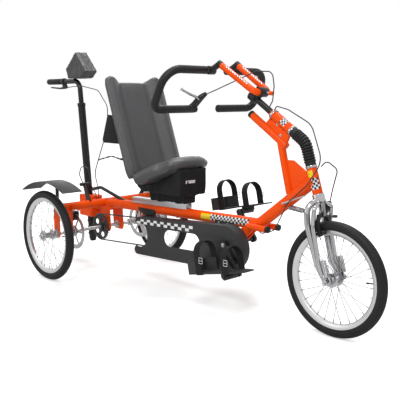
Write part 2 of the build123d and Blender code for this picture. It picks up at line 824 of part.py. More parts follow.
pedal_inner_y = crank_y + crank_thickness / 2 + footplate_gap
pedal_middle_y = pedal_inner_y + footplate_width / 2
pitch = radians(footplate_pitch)
for side_name, (x, side, z) in pedal_points.items():
    plate_plane = Plane(
        origin=(x, side * pedal_middle_y, z),
        x_dir=(cos(pitch), 0, sin(pitch)),
        z_dir=(-sin(pitch), 0, cos(pitch)),
    )
    toe = footplate_length - footplate_heel
    half = footplate_width / 2
    with BuildPart() as footplate:
        with BuildSketch(plate_plane.offset(footplate_rise)) as sole:
            with BuildLine():
                Polyline(
                    (-footplate_heel, -half),
                    (toe - 70, -half),
                    (toe, -half + 22),
                    (toe, half - 22),
                    (toe - 70, half),
                    (-footplate_heel, half),
                    close=True,
                )
            make_face()
        extrude(sole.sketch, amount=footplate_thickness)
        with BuildSketch(plate_plane.offset(footplate_rise + footplate_thickness)) as cup:
            with Locations((-footplate_heel + heel_cup_length / 2, 0)):
                Rectangle(heel_cup_length, footplate_width)
                with Locations((heel_cup_wall, 0)):
                    Rectangle(
                        heel_cup_length,
                        footplate_width - 2 * heel_cup_wall,
                        mode=Mode.SUBTRACT,
                    )
        extrude(cup.sketch, amount=heel_cup_height)
        barrel_start = (x, side * pedal_inner_y, z)
        barrel_end = (x, side * (pedal_inner_y + 78), z)
        tube(barrel_start, barrel_end, 14, pedal_spindle_radius + running_gap)
        with BuildSketch(plate_plane.offset(footplate_rise)) as web:
            Rectangle(20, 70)
        extrude(web.sketch, amount=-footplate_rise)
        bore_end = (x, side * (crank_y + crank_thickness + pedal_spindle_length), z)
        tube(barrel_start, bore_end, pedal_spindle_radius + running_gap, mode=Mode.SUBTRACT)
    finish(footplate, f"footplate_{side_name}")
    with BuildPart() as straps:
        strap_wall = 3
        for low, high, lean, height in ((-150, -112, 0, 150), (20, 58, 0, 118)):
            middle = (low + high) / 2
            strap_plane = Plane(
                origin=plate_plane.from_local_coords(Vector(middle, 0, footplate_rise)),
                x_dir=(0, 1, 0),
                z_dir=plate_plane.x_dir,
            )
            with BuildSketch(strap_plane.offset(-(high - low) / 2)) as hoop:
                with BuildLine():
                    outer_half = half + strap_wall + 0.3
                    l1 = Line((-outer_half, -3), (-outer_half, height - outer_half))
                    l2 = Line((outer_half, -3), (outer_half, height - outer_half))
                    ThreePointArc(l1 @ 1, (0, height), l2 @ 1)
                    Line(l1 @ 0, l2 @ 0)
                make_face()
                offset(amount=-strap_wall, mode=Mode.SUBTRACT)
            extrude(hoop.sketch, amount=high - low)
        add(footplate.part, mode=Mode.SUBTRACT)
    finish(straps, f"foot_straps_{side_name}")

# Fork
crown_top = Vector(*head_bottom) - head_axis * 1.0
crown_low = crown_top - head_axis * 34
with BuildPart() as fork:
    tube(crown_top, (Vector(*head_top) - head_axis * 2), steerer_radius)
    tube(crown_low, crown_top, head_radius + 4)
    for side in (-1, 1):
        bent_tube(
            (
                (crown_low.X, side * 6, crown_low.Z + 12),
                (from_axle(1500), side * fork_half_width, 552),
                (from_axle(1506), side * fork_half_width, 470),
                (from_axle(1556), side * fork_tip_half_width, 310),
                (front_axle_x - 8, side * fork_tip_half_width, axle_z + 4),
            ),
            (50, 120, 60),
            fork_leg_radius,
        )
        dropout = (
            (front_axle_x - 40, axle_z + 44),
            (front_axle_x - 20, axle_z - 14),
            (front_axle_x + 6, axle_z - 16),
            (front_axle_x + 18, axle_z),
            (front_axle_x + 8, axle_z + 30),
            (front_axle_x - 10, axle_z + 50),
        )
        side_plate(dropout, side * fork_tip_half_width, 7)
    brake_mount = (
        (crown_low.X - 10, crown_low.Z + 12),
        (crown_low.X + 16, crown_low.Z + 8),
        (from_axle(1552), 512),
        (from_axle(1530), 502),
    )
    side_plate(brake_mount, 0, 16)
    tube(
        (front_axle_x, -fork_tip_half_width - 20, axle_z),
        (front_axle_x, fork_tip_half_width + 20, axle_z),
        front_axle_radius,
        mode=Mode.SUBTRACT,
    )
finish(fork, "fork")

# Front tubes of the fork, each with the spring unit at its foot
with BuildPart() as fork_struts:
    for side in (-1, 1):
        strut_y = side * fork_half_width
        bent_tube(
            (
                (from_axle(1528), side * 20, 566),
                (from_axle(1538), strut_y, 546),
                (from_axle(1534), strut_y, 470),
                (from_axle(1566), strut_y, 326),
                (from_axle(1588), strut_y, 272),
            ),
            (14, 120, 90),
            fork_strut_radius,
        )
        tube((from_axle(1590), strut_y, 338), (from_axle(1611), strut_y, 270), 11)
        tube((from_axle(1588), strut_y, 272), (front_axle_x, strut_y, axle_z + 12), 8)
    add(fork.part, mode=Mode.SUBTRACT)
    axle_start = (front_axle_x, -fork_tip_half_width - 20, axle_z)
    axle_end = (front_axle_x, fork_tip_half_width + 20, axle_z)
    tube(axle_start, axle_end, 14, mode=Mode.SUBTRACT)
finish(fork_struts, "fork_struts")

# Front brake: two arms that reach over the tyre to the rim
brake_up = Vector(from_axle(1554) - front_axle_x, 0, 442 - axle_z).normalized()
brake_plane = Plane(origin=(front_axle_x, 0, axle_z), x_dir=(0, 1, 0), z_dir=Vector(0, 1, 0).cross(brake_up))
with BuildPart() as front_brake:
    with BuildSketch(brake_plane) as arms:
        Polygon(
            (-44, 188),
            (-46, 246),
            (-26, 280),
            (26, 280),
            (46, 246),
            (44, 188),
            (33, 188),
            (34, 242),
            (18, 264),
            (-18, 264),
            (-34, 242),
            (-33, 188),
            align=None,
        )
        Polygon((14, 272), (26, 270), (76, 318), (68, 328), align=None)
        Polygon((26, 262), (34, 270), (98, 262), (96, 250), align=None)
    extrude(arms.sketch, amount=7, both=True)
    for side in (-1, 1):
        pad = brake_plane.from_local_coords(Vector(side * 27.5, 200, 0))
        with Locations(Plane(origin=pad, x_dir=(0, 1, 0), z_dir=brake_up)):
            Box(14, 44, 13)
    add(fork.part, mode=Mode.SUBTRACT)
    add(fork_struts.part, mode=Mode.SUBTRACT)
finish(front_brake, "front_brake")

with BuildPart() as front_axle:
    reach = fork_tip_half_width + 18
    tube((front_axle_x, -reach, axle_z), (front_axle_x, reach, axle_z), front_axle_radius)
    for side in (-1, 1):
        start = (front_axle_x, side * (fork_tip_half_width + fork_leg_radius + 1), axle_z)
        end = (front_axle_x, side * reach, axle_z)
        tube(start, end, 10)
    add(fork.part, mode=Mode.SUBTRACT)
finish(front_axle, "front_axle")

# Handlebar
shaft_top = Vector(*column_high) + column_axis * column_shaft_reach
with BuildPart() as column_shaft:
    tube((Vector(*column_low) + column_axis * 4), shaft_top, column_shaft_radius)
stem_point = Vector(*column_high) + column_axis * (column_shaft_reach - 10)
with BuildPart() as handlebar_yoke:
    bent_tube(
        (
            (yoke_high[0], -yoke_high_half_width, yoke_high[2]),
            (yoke_low[0], -yoke_low_half_width, yoke_low[2]),
            (yoke_low[0], yoke_low_half_width, yoke_low[2]),
            (yoke_high[0], yoke_high_half_width, yoke_high[2]),
        ),
        26,
        yoke_radius,
    )
finish(handlebar_yoke, "handlebar_yoke")

with BuildPart() as stem:
    tube(stem_point, (stem_point + column_axis * 40), 24)
    tube((stem_point + column_axis * 20), yoke_low, 20)
    tube((yoke_low[0], -24, yoke_low[2]), (yoke_low[0], 24, yoke_low[2]), yoke_radius + 7)
    add(column_shaft.part)
    add(handlebar_yoke.part, mode=Mode.SUBTRACT)
finish(stem, "stem")

loop_up = Vector(loop_high[0] - loop_low[0], 0, loop_high[1] - loop_low[1])
loop_grips = []
loop_clamps = []
for side in (-1, 1):
    with BuildPart() as loop:
        bent_tube(
            (
                (loop_high[0], side * loop_top_inner_y, loop_high[1]),
                (loop_high[0], side * loop_outer_y, loop_high[1]),
                (loop_low[0], side * loop_outer_y, loop_low[1]),
                (loop_low[0], side * loop_inner_y, loop_low[1]),
            ),
            (loop_top_bend, loop_low_bend),
            loop_radius,
        )
    loop_grips.append(loop)
    with BuildPart() as loop_clamp:
        grip_end = (loop_high[0], side * loop_top_inner_y, loop_high[1])
        tube(grip_end, (loop_high[0], side * 60, loop_high[1]), loop_tube_radius)
        yoke_end = (yoke_high[0], side * yoke_high_half_width, yoke_high[2])
        tube((loop_high[0], side * yoke_high_half_width, loop_high[1]), yoke_end, 14)
        tube((loop_high[0], side * 42, loop_high[1]), (loop_high[0], side * 78, loop_high[1]), 20)
        add(handlebar_yoke.part, mode=Mode.SUBTRACT)
    loop_clamps.append(loop_clamp)
finish_together("loop_grips", *loop_grips)
finish_together("loop_clamps", *loop_clamps)

# Brake lever at the lower end of the right loop
with BuildPart() as brake_lever:
    end_y = -loop_inner_y
    tube((loop_low[0], end_y, loop_low[1]), (loop_low[0], end_y + 22, loop_low[1]), loop_tube_radius)
    tube((loop_low[0], end_y + 2, loop_low[1]), (loop_low[0], end_y + 16, loop_low[1]), 17)
    lever_root = (from_axle(838), end_y + 9, 956)
    lever_top = (from_axle(884), -50, 1016)
    tube(lever_root, lever_top, 9)
    bent_tube(
        (between(lever_root, lever_top, 0.6), (from_axle(880), -146, 1012), (from_axle(880), -194, 1034)),
        24,
        4.5,
    )
finish(brake_lever, "brake_lever")

# Seat rail on the backbone
with BuildPart() as seat_rail:
    slope = degrees(atan2(knee[2] - backbone_rise[2], knee[0] - backbone_rise[0]))
    rail_rise = (rail_rear_x - backbone_rise[0]) * sin(radians(slope))
    rail_foot_z = backbone_rise[2] + rail_rise + backbone_radius - 4
    rail_plane = Plane(
        origin=(rail_rear_x, 0, rail_foot_z),
        x_dir=(cos(radians(slope)), 0, sin(radians(slope))),
        z_dir=(0, -1, 0),
    )
    with BuildSketch(rail_plane.offset(-rail_width / 2)) as rail_side:
        with Locations((rail_length / 2, rail_height / 2 + 2)):
            Rectangle(rail_length, rail_height + 4)
    extrude(rail_side.sketch, amount=rail_width)
    add(main_tube.part, mode=Mode.SUBTRACT)
finish(seat_rail, "seat_rail")

# Seat
rail_top_rear = rail_plane.from_local_coords(Vector(0, rail_height + 4, 0))
rail_run = Vector(cos(radians(slope)), 0, sin(radians(slope)))
cushion_run = Vector(cos(radians(cushion_tilt)), 0, sin(radians(cushion_tilt)))
cushion_up = Vector(-cushion_run.Z, 0, cushion_run.X)
cushion_origin = Vector(*seat_corner) - cushion_up * 46 + cushion_run * 6
with BuildPart() as seat_cushion:
    cushion_plane = Plane(origin=cushion_origin, x_dir=cushion_run, z_dir=cushion_up)
    with BuildSketch(cushion_plane) as plan:
        with BuildLine():
            Polyline(
                (0, -cushion_width / 2),
                (120, -cushion_width / 2),
                (cushion_depth, -cushion_nose_width / 2),
                (cushion_depth, cushion_nose_width / 2),
                (120, cushion_width / 2),
                (0, cushion_width / 2),
                (0, back_seam_y * 2),
                (6 - back_hollow, back_seam_y),
                (6 - back_hollow, -back_seam_y),
                (0, -back_seam_y * 2),
                close=True,
            )
        make_face()
        fillet(plan.vertices().group_by(Axis.X)[-1], 95)
    extrude(plan.sketch, amount=cushion_thickness)
finish(seat_cushion, "seat_cushion")

back_run = Vector(-sin(radians(seat_recline)), 0, cos(radians(seat_recline)))
back_normal = Vector(back_run.Z, 0, -back_run.X)
with BuildPart() as seat_back:
    back_origin = Vector(*seat_corner) - back_normal * (back_thickness + 2)
    back_plane = Plane(origin=back_origin, x_dir=(0, 1, 0), z_dir=back_normal)
    back_half = back_width / 2
    wing_plane = Plane(origin=back_origin, x_dir=(0, 1, 0), z_dir=back_run)
    with BuildSketch(wing_plane) as wings:
        Polygon(
            (-back_half, -back_thickness + 22),
            (-back_half, -back_thickness),
            (-back_half + 26, -back_thickness),
            (-back_seam_y, -back_thickness + back_hollow),
            (back_seam_y, -back_thickness + back_hollow),
            (back_half - 26, -back_thickness),
            (back_half, -back_thickness),
            (back_half, -back_thickness + 22),
            (back_half - 40, -12),
            (back_seam_y, 0),
            (-back_seam_y, 0),
            (-back_half + 40, -12),
            align=None,
        )
    extrude(wings.sketch, amount=back_height)
    with BuildSketch(back_plane) as panel:
        with Locations((0, back_height / 2)):
            RectangleRounded(back_width, back_height, 24)
    extrude(panel.sketch, amount=back_thickness, mode=Mode.INTERSECT)
finish(seat_back, "seat_back")

with BuildPart() as seat_base:
    base_low = rail_top_rear + rail_run * 190 + Vector(0, 0, seat_gap)
    base_front = rail_top_rear + rail_run * 470 + Vector(0, 0, seat_gap)
    pedestal_outline = (
        (base_low.X, base_low.Z),
        (base_front.X - 12, base_front.Z),
        (from_axle(724), skirt_low_z + 10),
        (from_axle(440), skirt_low_z + 10),
    )
    side_plate(pedestal_outline, 0, 2 * pedestal_half_width)
    skirt_outline = (
        (from_axle(428), skirt_low_z),
        (from_axle(738), skirt_low_z),
        (from_axle(752), 660),
        (from_axle(470), 610),
        (from_axle(352), 568),
    )
    side_plate(skirt_outline, 0, 2 * seat_base_half_width)
    with BuildSketch(cushion_plane.offset(-seat_gap)) as trim:
        with Locations((cushion_depth - back_hollow - 4, 0)):
            Rectangle(2 * cushion_depth, 2 * cushion_width)
    extrude(trim.sketch, amount=400, mode=Mode.SUBTRACT)
    with BuildSketch(back_plane.offset(-seat_gap)) as rest:
        with Locations((0, back_rest_height / 2 - 20)):
            Rectangle(2 * seat_base_half_width, back_rest_height)
    extrude(rest.sketch, amount=-back_rest_thickness)
    with BuildSketch(back_plane.offset(-seat_gap)) as back_trim:
        with Locations((0, back_height - seat_gap)):
            Rectangle(2 * back_width, 2 * back_height)
    extrude(back_trim.sketch, amount=back_thickness + 2 * seat_gap, mode=Mode.SUBTRACT)
    plate_middle = back_plane.from_local_coords(Vector(-seat_base_half_width + 8, 120, -6))
    bent_tube(
        (
            plate_middle,
            (plate_middle.X - 22, -150, plate_middle.Z),
            (from_axle(258), -150, plate_middle.Z + 12),
            (from_axle(134), -150, plate_middle.Z - 16),
        ),
        (14, 30),
        5,
    )
finish(seat_base, "seat_base")

# Handle bar behind the seat
bar_bend = Vector(*post_collar) + post_axis * ((bar_z - post_collar[2]) / post_axis.Z)
bar_end = (rear_axle_x - grip_reach, 0, bar_z)
grip_front = (rear_axle_x - grip_reach + grip_length, 0, bar_z)
with BuildPart() as handle_bar:
    bent_tube((post_collar, bar_bend, grip_front), 55, bar_radius)
finish(handle_bar, "handle_bar")

with BuildPart() as handle_grip:
    tube(grip_front, bar_end, grip_radius)
    fillet(handle_grip.edges().sort_by(Axis.X)[0], 6)
finish(handle_grip, "handle_grip")

# Brake lever under the grip, set out from its clamp on the bar
lever_clamp_x = grip_front[0] + lever_clamp_gap
with BuildPart() as rear_brake_lever:
    side_plate(
        (
            (lever_clamp_x, bar_z - 11),
            (lever_clamp_x + 34, bar_z - 11),
            (lever_clamp_x + 52, bar_z - 37),
            (lever_clamp_x + 32, bar_z - 45),
            (lever_clamp_x - 28, bar_z - 47),
            (lever_clamp_x - 133, bar_z - 39),
            (lever_clamp_x - 133, bar_z - 31),
            (lever_clamp_x - 28, bar_z - 37),
            (lever_clamp_x + 4, bar_z - 33),
        ),
        0,
        12,
    )
    tube((lever_clamp_x, 0, bar_z), (lever_clamp_x + 28, 0, bar_z), bar_radius + 5)
    add(handle_bar.part, mode=Mode.SUBTRACT)
finish(rear_brake_lever, "rear_brake_lever")

pouch_floor_z = bar_z + bar_radius + seat_gap
with BuildPart() as pouch:
    side_plate(
        (
            (from_axle(-241), 1265),
            (from_axle(-132), 1150),
            (from_axle(-185), pouch_floor_z),
            (from_axle(-330), pouch_floor_z),
            (from_axle(-346), 1170),
        ),
        0,
        84,
    )
finish(pouch, "pouch")

# Fenders
fender_radius = 450
fender_gap = 54
fender_half_width = 60
fender_y = 392
fender_thickness = 3
fender_crown_z = axle_z + wheel_radius + fender_gap + fender_thickness
fender_centre = (from_axle(50), fender_crown_z - fender_radius)
fenders = []
for side in (-1, 1):
    with BuildPart() as fender:
        with BuildSketch(Plane.XZ.offset(-side * fender_y - fender_half_width)) as band:
            with BuildLine():
                rear_angle = radians(121)
                front_angle = radians(65)
                points = {}
                for name, radius in (("outer", fender_radius), ("inner", fender_radius - fender_thickness)):
                    middle_angle = (rear_angle + front_angle) / 2
                    angles = {"rear": rear_angle, "middle": middle_angle, "front": front_angle}
                    for place, angle in angles.items():
                        points[name, place] = (
                            fender_centre[0] + radius * cos(angle),
                            fender_centre[1] + radius * sin(angle),
                        )
                ThreePointArc(points["outer", "rear"], points["outer", "middle"], points["outer", "front"])
                Line(points["outer", "front"], points["inner", "front"])
                ThreePointArc(points["inner", "front"], points["inner", "middle"], points["inner", "rear"])
                Line(points["inner", "rear"], points["outer", "rear"])
            make_face()
        extrude(band.sketch, amount=2 * fender_half_width)
        stay_top = fender_crown_z - 2 * fender_thickness
        with Locations((from_axle(20), side * (beam_reach + 5), (stay_top + beam_z) / 2)):
            Box(30, 4, stay_top - beam_z + 8)
    fenders.append(fender)
finish_together("fenders", *fenders)

# Brake cables, each held along its way by its clips and ties
cable_radius = 2.5


def cable(points, bends=26):
    """A sheathed cable through stations given from the rear axle."""
    bent_tube([(from_axle(x), y, z) for x, y, z in points], bends, cable_radius)


with BuildPart() as lever_cable:
    cable(
        (
            (878, -53, 1010),
            (956, -46, 1036),
            (1175, -20, 1114),
            (1266, -18, 1110),
            (1276, -16, 1048),
            (1268, -15, 984),
            (1238, -8, 948),
        ),
        (26, 26, 30, 60, 26),
    )
    add(brake_lever.part, mode=Mode.SUBTRACT)
    add(stem.part, mode=Mode.SUBTRACT)
finish(lever_cable, "lever_cable")

with BuildPart() as front_cable:
    cable(
        (
            (1502, 30, 712),
            (1526, 34, 738),
            (1558, 70, 700),
            (1530, 76, 610),
            (1522, 72, 556),
        ),
        (16, 30, 60),
    )
    add(front_brake.part, mode=Mode.SUBTRACT)
    add(front_cable.solids().sort_by(SortBy.VOLUME)[-1], mode=Mode.INTERSECT)
finish(front_cable, "front_cable")

with BuildPart() as column_cable:
    cable(
        (
            (1272, -10, 938),
            (1290, -14, 962),
            (1352, -12, 948),
            (1478, -12, 888),
            (1552, -34, 740),
            (1482, -42, 634),
            (1388, -46, 552),
            (1290, -14, 412),
            (1215, -12, 386),
            (1170, -8, 404),
        ),
        (14, 60, 90, 70, 90, 90, 60, 26),
    )
    add(steering_tube.part, mode=Mode.SUBTRACT)
    add(clamp_rings.part, mode=Mode.SUBTRACT)
    add(main_tube.part, mode=Mode.SUBTRACT)
    add(down_tube.part, mode=Mode.SUBTRACT)

with BuildPart() as helper_cable:
    cable(
        (
            (-412, 0, 1058),
            (-300, -26, 1064),
            (-172, -44, 1066),
            (10, -56, 1040),
            (124, -74, 950),
            (126, -80, 830),
            (-44, -58, 560),
            (-16, -52, 470),
            (-16, -52, 396),
        ),
        (60, 90, 80, 60, 60, 90, 60),
    )
    add(rear_brake_lever.part, mode=Mode.SUBTRACT)
    add(rear_beam.part, mode=Mode.SUBTRACT)

with BuildPart() as parking_cable:
    cable(
        (
            (-54, -125, 492),
            (-104, -125, 556),
            (-98, -108, 610),
            (-66, -88, 590),
            (-56, -80, 500),
            (-14, -72, 440),
            (-14, -70, 396),
        ),
        (26, 20, 20, 60, 26),
    )
    add(parking_lever.part, mode=Mode.SUBTRACT)
    add(rear_beam.part, mode=Mode.SUBTRACT)
finish_together("frame_cables", column_cable, helper_cable, parking_cable)
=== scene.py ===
"""Adaptive tricycle: looks and finishes round the frame that carries it.

Metres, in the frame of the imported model: +X forward, +Y to the rider's left, +Z up.
"""

from math import atan2, cos, pi, radians, sin, tan

import bmesh
import bpy
from mathutils import Matrix, Vector, noise


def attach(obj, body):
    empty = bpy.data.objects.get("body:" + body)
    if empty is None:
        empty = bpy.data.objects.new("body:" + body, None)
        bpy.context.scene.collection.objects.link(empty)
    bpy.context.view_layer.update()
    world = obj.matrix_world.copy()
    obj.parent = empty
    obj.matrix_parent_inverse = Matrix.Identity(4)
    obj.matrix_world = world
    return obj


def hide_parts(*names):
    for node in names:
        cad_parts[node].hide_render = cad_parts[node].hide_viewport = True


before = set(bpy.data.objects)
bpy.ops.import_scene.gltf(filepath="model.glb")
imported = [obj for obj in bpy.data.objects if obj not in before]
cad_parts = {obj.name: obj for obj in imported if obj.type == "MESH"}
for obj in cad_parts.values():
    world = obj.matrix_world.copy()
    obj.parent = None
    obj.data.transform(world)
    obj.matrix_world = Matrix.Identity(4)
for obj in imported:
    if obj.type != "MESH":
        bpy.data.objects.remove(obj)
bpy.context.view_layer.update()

# The camera stands in front of the tricycle on its right, at the height of the handlebar.
# It looks down a little, through a slightly long lens.
camera_data = bpy.data.cameras.new("camera")
camera_data.lens = 58.3
camera = bpy.data.objects.new("camera", camera_data)
bpy.context.scene.collection.objects.link(camera)
camera.location = (2.5001, -2.2083, 0.9984)
yaw = radians(46.49)
pitch = radians(8.984)
looking = Vector((-sin(yaw) * cos(pitch), cos(yaw) * cos(pitch), -sin(pitch)))
camera.rotation_euler = looking.to_track_quat("-Z", "Y").to_euler()
bpy.context.scene.camera = camera

# The tricycle stands on a white sweep of paper under wide, soft studio lamps.
# The paper shows white to the camera and keeps the tricycle's shadow.
bpy.context.scene.view_settings.view_transform = "Standard"


def add_node(nodes, kind, values=None, **settings):
    """Adds a shader node with its settings and the values of its input sockets."""
    node = nodes.new(kind)
    for name, value in settings.items():
        setattr(node, name, value)
    for socket, value in (values or {}).items():
        node.inputs[socket].default_value = value
    return node


def join_nodes(links, *wires):
    """Joins sockets, each wire being a node, its output, the next node and its input."""
    for giver, output, taker, socket in wires:
        links.new(giver.outputs[output], taker.inputs[socket])


white = (1, 1, 1, 1)
world = bpy.data.worlds.new("studio")
bpy.context.scene.world = world
world.use_nodes = True
world_nodes = world.node_tree.nodes
world_nodes.clear()
seen_sky = add_node(world_nodes, "ShaderNodeBackground", {"Color": white, "Strength": 1.0})
room_light = add_node(world_nodes, "ShaderNodeBackground", {"Color": white, "Strength": 0.30})
ray_kind = world_nodes.new("ShaderNodeLightPath")
camera_or_glossy = add_node(world_nodes, "ShaderNodeMath", operation="MAXIMUM")
seen_by_any = add_node(world_nodes, "ShaderNodeMath", operation="MAXIMUM")
seen_or_not = world_nodes.new("ShaderNodeMixShader")
world_output = world_nodes.new("ShaderNodeOutputWorld")
join_nodes(
    world.node_tree.links,
    (ray_kind, "Is Camera Ray", camera_or_glossy, 0),
    (ray_kind, "Is Glossy Ray", camera_or_glossy, 1),
    (camera_or_glossy, 0, seen_by_any, 0),
    (ray_kind, "Is Transmission Ray", seen_by_any, 1),
    (seen_by_any, 0, seen_or_not, "Fac"),
    (room_light, "Background", seen_or_not, 1),
    (seen_sky, "Background", seen_or_not, 2),
    (seen_or_not, "Shader", world_output, "Surface"),
)

paper_form = bmesh.new()
bmesh.ops.create_grid(paper_form, x_segments=2, y_segments=2, size=14)
paper_mesh = bpy.data.meshes.new("paper")
paper_form.to_mesh(paper_mesh)
paper_form.free()
paper = bpy.data.objects.new("paper", paper_mesh)
bpy.context.scene.collection.objects.link(paper)
paper_material = bpy.data.materials.new("white_paper")
paper_material.use_nodes = True
paper_nodes = paper_material.node_tree.nodes
paper_nodes.clear()
paper_output = paper_nodes.new("ShaderNodeOutputMaterial")
paper_surface = add_node(paper_nodes, "ShaderNodeBsdfDiffuse", {"Color": (0.93, 0.93, 0.93, 1)})
paper_glow = add_node(paper_nodes, "ShaderNodeEmission", {"Color": white})
paper_place = paper_nodes.new("ShaderNodeTexCoord")
paper_scale = add_node(paper_nodes, "ShaderNodeMapping", {"Scale": (0.30, 0.30, 0.30)})
paper_fade = add_node(paper_nodes, "ShaderNodeTexGradient", gradient_type="SPHERICAL")
paper_strength = add_node(paper_nodes, "ShaderNodeMapRange", {"To Min": 0.78, "To Max": 0.38})
paper_sum = paper_nodes.new("ShaderNodeAddShader")
paper_ray = paper_nodes.new("ShaderNodeLightPath")
paper_mix = paper_nodes.new("ShaderNodeMixShader")
join_nodes(
    paper_material.node_tree.links,
    (paper_place, "Object", paper_scale, "Vector"),
    (paper_scale, "Vector", paper_fade, "Vector"),
    (paper_fade, "Fac", paper_strength, "Value"),
    (paper_strength, "Result", paper_glow, "Strength"),
    (paper_surface, 0, paper_sum, 0),
    (paper_glow, 0, paper_sum, 1),
    (paper_ray, "Is Camera Ray", paper_mix, "Fac"),
    (paper_surface, 0, paper_mix, 1),
    (paper_sum, 0, paper_mix, 2),
    (paper_mix, 0, paper_output, "Surface"),
)
paper_mesh.materials.append(paper_material)

lamps = (
    # name, place, aim, width, power
    ("key", (2.2, -3.0, 3.8), (0, 0, 0.5), 1.5, 115),
    ("fill", (-2.2, -4.0, 2.2), (0, 0, 0.5), 2.6, 20),
    ("top", (-0.2, 0.6, 4.2), (0, 0, 0.4), 1.4, 80),
    ("back", (-3.4, 2.6, 2.4), (0, 0, 0.6), 2.4, 26),
)
for lamp_name, place, aim, width, power in lamps:
    lamp_data = bpy.data.lights.new(lamp_name, "AREA")
    lamp_data.shape = "DISK"
    lamp_data.size = width
    lamp_data.energy = power
    lamp = bpy.data.objects.new(lamp_name, lamp_data)
    bpy.context.scene.collection.objects.link(lamp)
    lamp.location = place
    lamp.rotation_euler = (Vector(aim) - Vector(place)).to_track_quat("-Z", "Y").to_euler()

# Painted frame tubes: bent and welded steel tube with an orange powder coat that shows a fine orange peel.
# Every steel piece of the frame is a copy of its solid with its edges broken a little, as a file leaves them.
rear_axle_x = -0.619


def station(x, y, z):
    """A place given in millimetres, with x counted forward from the rear axle."""
    return Vector((rear_axle_x + x / 1000, y / 1000, z / 1000))


def make_group(name, *sockets):
    """A node group and its two end nodes, with sockets given by name, direction and kind."""
    group = bpy.data.node_groups.new(name, "ShaderNodeTree")
    for socket_name, way, kind in sockets:
        group.interface.new_socket(socket_name, in_out=way, socket_type=f"NodeSocket{kind}")
    return group, group.nodes.new("NodeGroupInput"), group.nodes.new("NodeGroupOutput")


def make_grain_group():
    """A fine, even roughness of the surface, as the height of a bump."""
    group, enter, leave = make_group(
        "fine_grain",
        ("Grains per metre", "INPUT", "Float"),
        ("Depth", "INPUT", "Float"),
        ("Height", "OUTPUT", "Float"),
    )
    place = group.nodes.new("ShaderNodeTexCoord")
    grain = add_node(group.nodes, "ShaderNodeTexNoise", {"Detail": 3})
    depth = add_node(group.nodes, "ShaderNodeMath", operation="MULTIPLY")
    join_nodes(
        group.links,
        (place, "Object", grain, "Vector"),
        (enter, "Grains per metre", grain, "Scale"),
        (grain, "Fac", depth, 0),
        (enter, "Depth", depth, 1),
        (depth, 0, leave, "Height"),
    )
    return group


def make_handling_group():
    """Cloudy marks of handling and dust: a shade of the colour and a change of roughness."""
    group, enter, leave = make_group(
        "handling_marks",
        ("Colour", "INPUT", "Color"),
        ("Worn colour", "INPUT", "Color"),
        ("Roughness", "INPUT", "Float"),
        ("Amount", "INPUT", "Float"),
        ("Colour", "OUTPUT", "Color"),
        ("Roughness", "OUTPUT", "Float"),
    )
    place = group.nodes.new("ShaderNodeTexCoord")
    clouds = add_node(group.nodes, "ShaderNodeTexNoise", {"Scale": 14, "Detail": 5, "Roughness": 0.6})
    spread = add_node(group.nodes, "ShaderNodeMapRange", {"From Min": 0.35, "From Max": 0.7})
    share = add_node(group.nodes, "ShaderNodeMath", operation="MULTIPLY")
    shade = add_node(group.nodes, "ShaderNodeMix", data_type="RGBA")
    rougher = add_node(group.nodes, "ShaderNodeMath", {1: 0.22}, operation="MULTIPLY_ADD")
    join_nodes(
        group.links,
        (place, "Object", clouds, "Vector"),
        (clouds, "Fac", spread, "Value"),
        (spread, "Result", share, 0),
        (enter, "Amount", share, 1),
        (share, 0, shade, "Factor"),
        (enter, 0, shade, "A"),
        (enter, 1, shade, "B"),
        (share, 0, rougher, 0),
        (enter, "Roughness", rougher, 2),
        (shade, "Result", leave, "Colour"),
        (rougher, 0, leave, "Roughness"),
    )
    return group


grain_group = make_grain_group()
handling_group = make_handling_group()


def new_material(name):
    """A new material with its nodes, its links and its shader."""
    material = bpy.data.materials.new(name)
    material.use_nodes = True
    tree = material.node_tree
    return material, tree.nodes, tree.links, tree.nodes["Principled BSDF"]


def add_marks(nodes, links, surface, colour, worn, roughness, amount):
    """Gives a shader its colour and roughness, with marks of handling in both."""
    values = {0: (*colour, 1), 1: (*worn, 1), "Roughness": roughness, "Amount": amount}
    marks = add_node(nodes, "ShaderNodeGroup", values, node_tree=handling_group)
    join_nodes(links, (marks, "Colour", surface, "Base Color"), (marks, "Roughness", surface, "Roughness"))


def make_finish(
    name, colour, worn, roughness, metallic=0.0, coat=0.0, grains=900, depth=0.1, marks=0.3, specular=0.5
):
    """A material with handling marks in its colour and a fine grain in its surface."""
    material, nodes, links, surface = new_material(name)
    surface.inputs["Metallic"].default_value = metallic
    surface.inputs["Specular IOR Level"].default_value = specular
    surface.inputs["Coat Weight"].default_value = coat
    surface.inputs["Coat Roughness"].default_value = 0.12
    add_marks(nodes, links, surface, colour, worn, roughness, marks)
    values = {"Grains per metre": grains, "Depth": depth}
    grain = add_node(nodes, "ShaderNodeGroup", values, node_tree=grain_group)
    bump = add_node(nodes, "ShaderNodeBump", {"Strength": 0.5, "Distance": 0.001})
    join_nodes(links, (grain, "Height", bump, "Height"), (bump, "Normal", surface, "Normal"))
    return material


def place_piece(name, form, body, materials, smooth_angle=35):
    """Makes an object of a bmesh, shades it smooth up to an angle and hangs it on a body."""
    for face in form.faces:
        face.smooth = True
    for edge in form.edges:
        edge.smooth = edge.calc_face_angle(0) < radians(smooth_angle)
    mesh = bpy.data.meshes.new(name)
    form.to_mesh(mesh)
    form.free()
    for material in materials:
        mesh.materials.append(material)
    piece = bpy.data.objects.new(name, mesh)
    bpy.context.scene.collection.objects.link(piece)
    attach(piece, body)
    return piece


def add_piece(name, form, body, material, smooth_angle=35):
    """Places a piece of fine detail with its faces turned outward, in the slot of its material."""
    bmesh.ops.recalc_face_normals(form, faces=form.faces)
    piece = place_piece(name, form, body, [material], smooth_angle=smooth_angle)


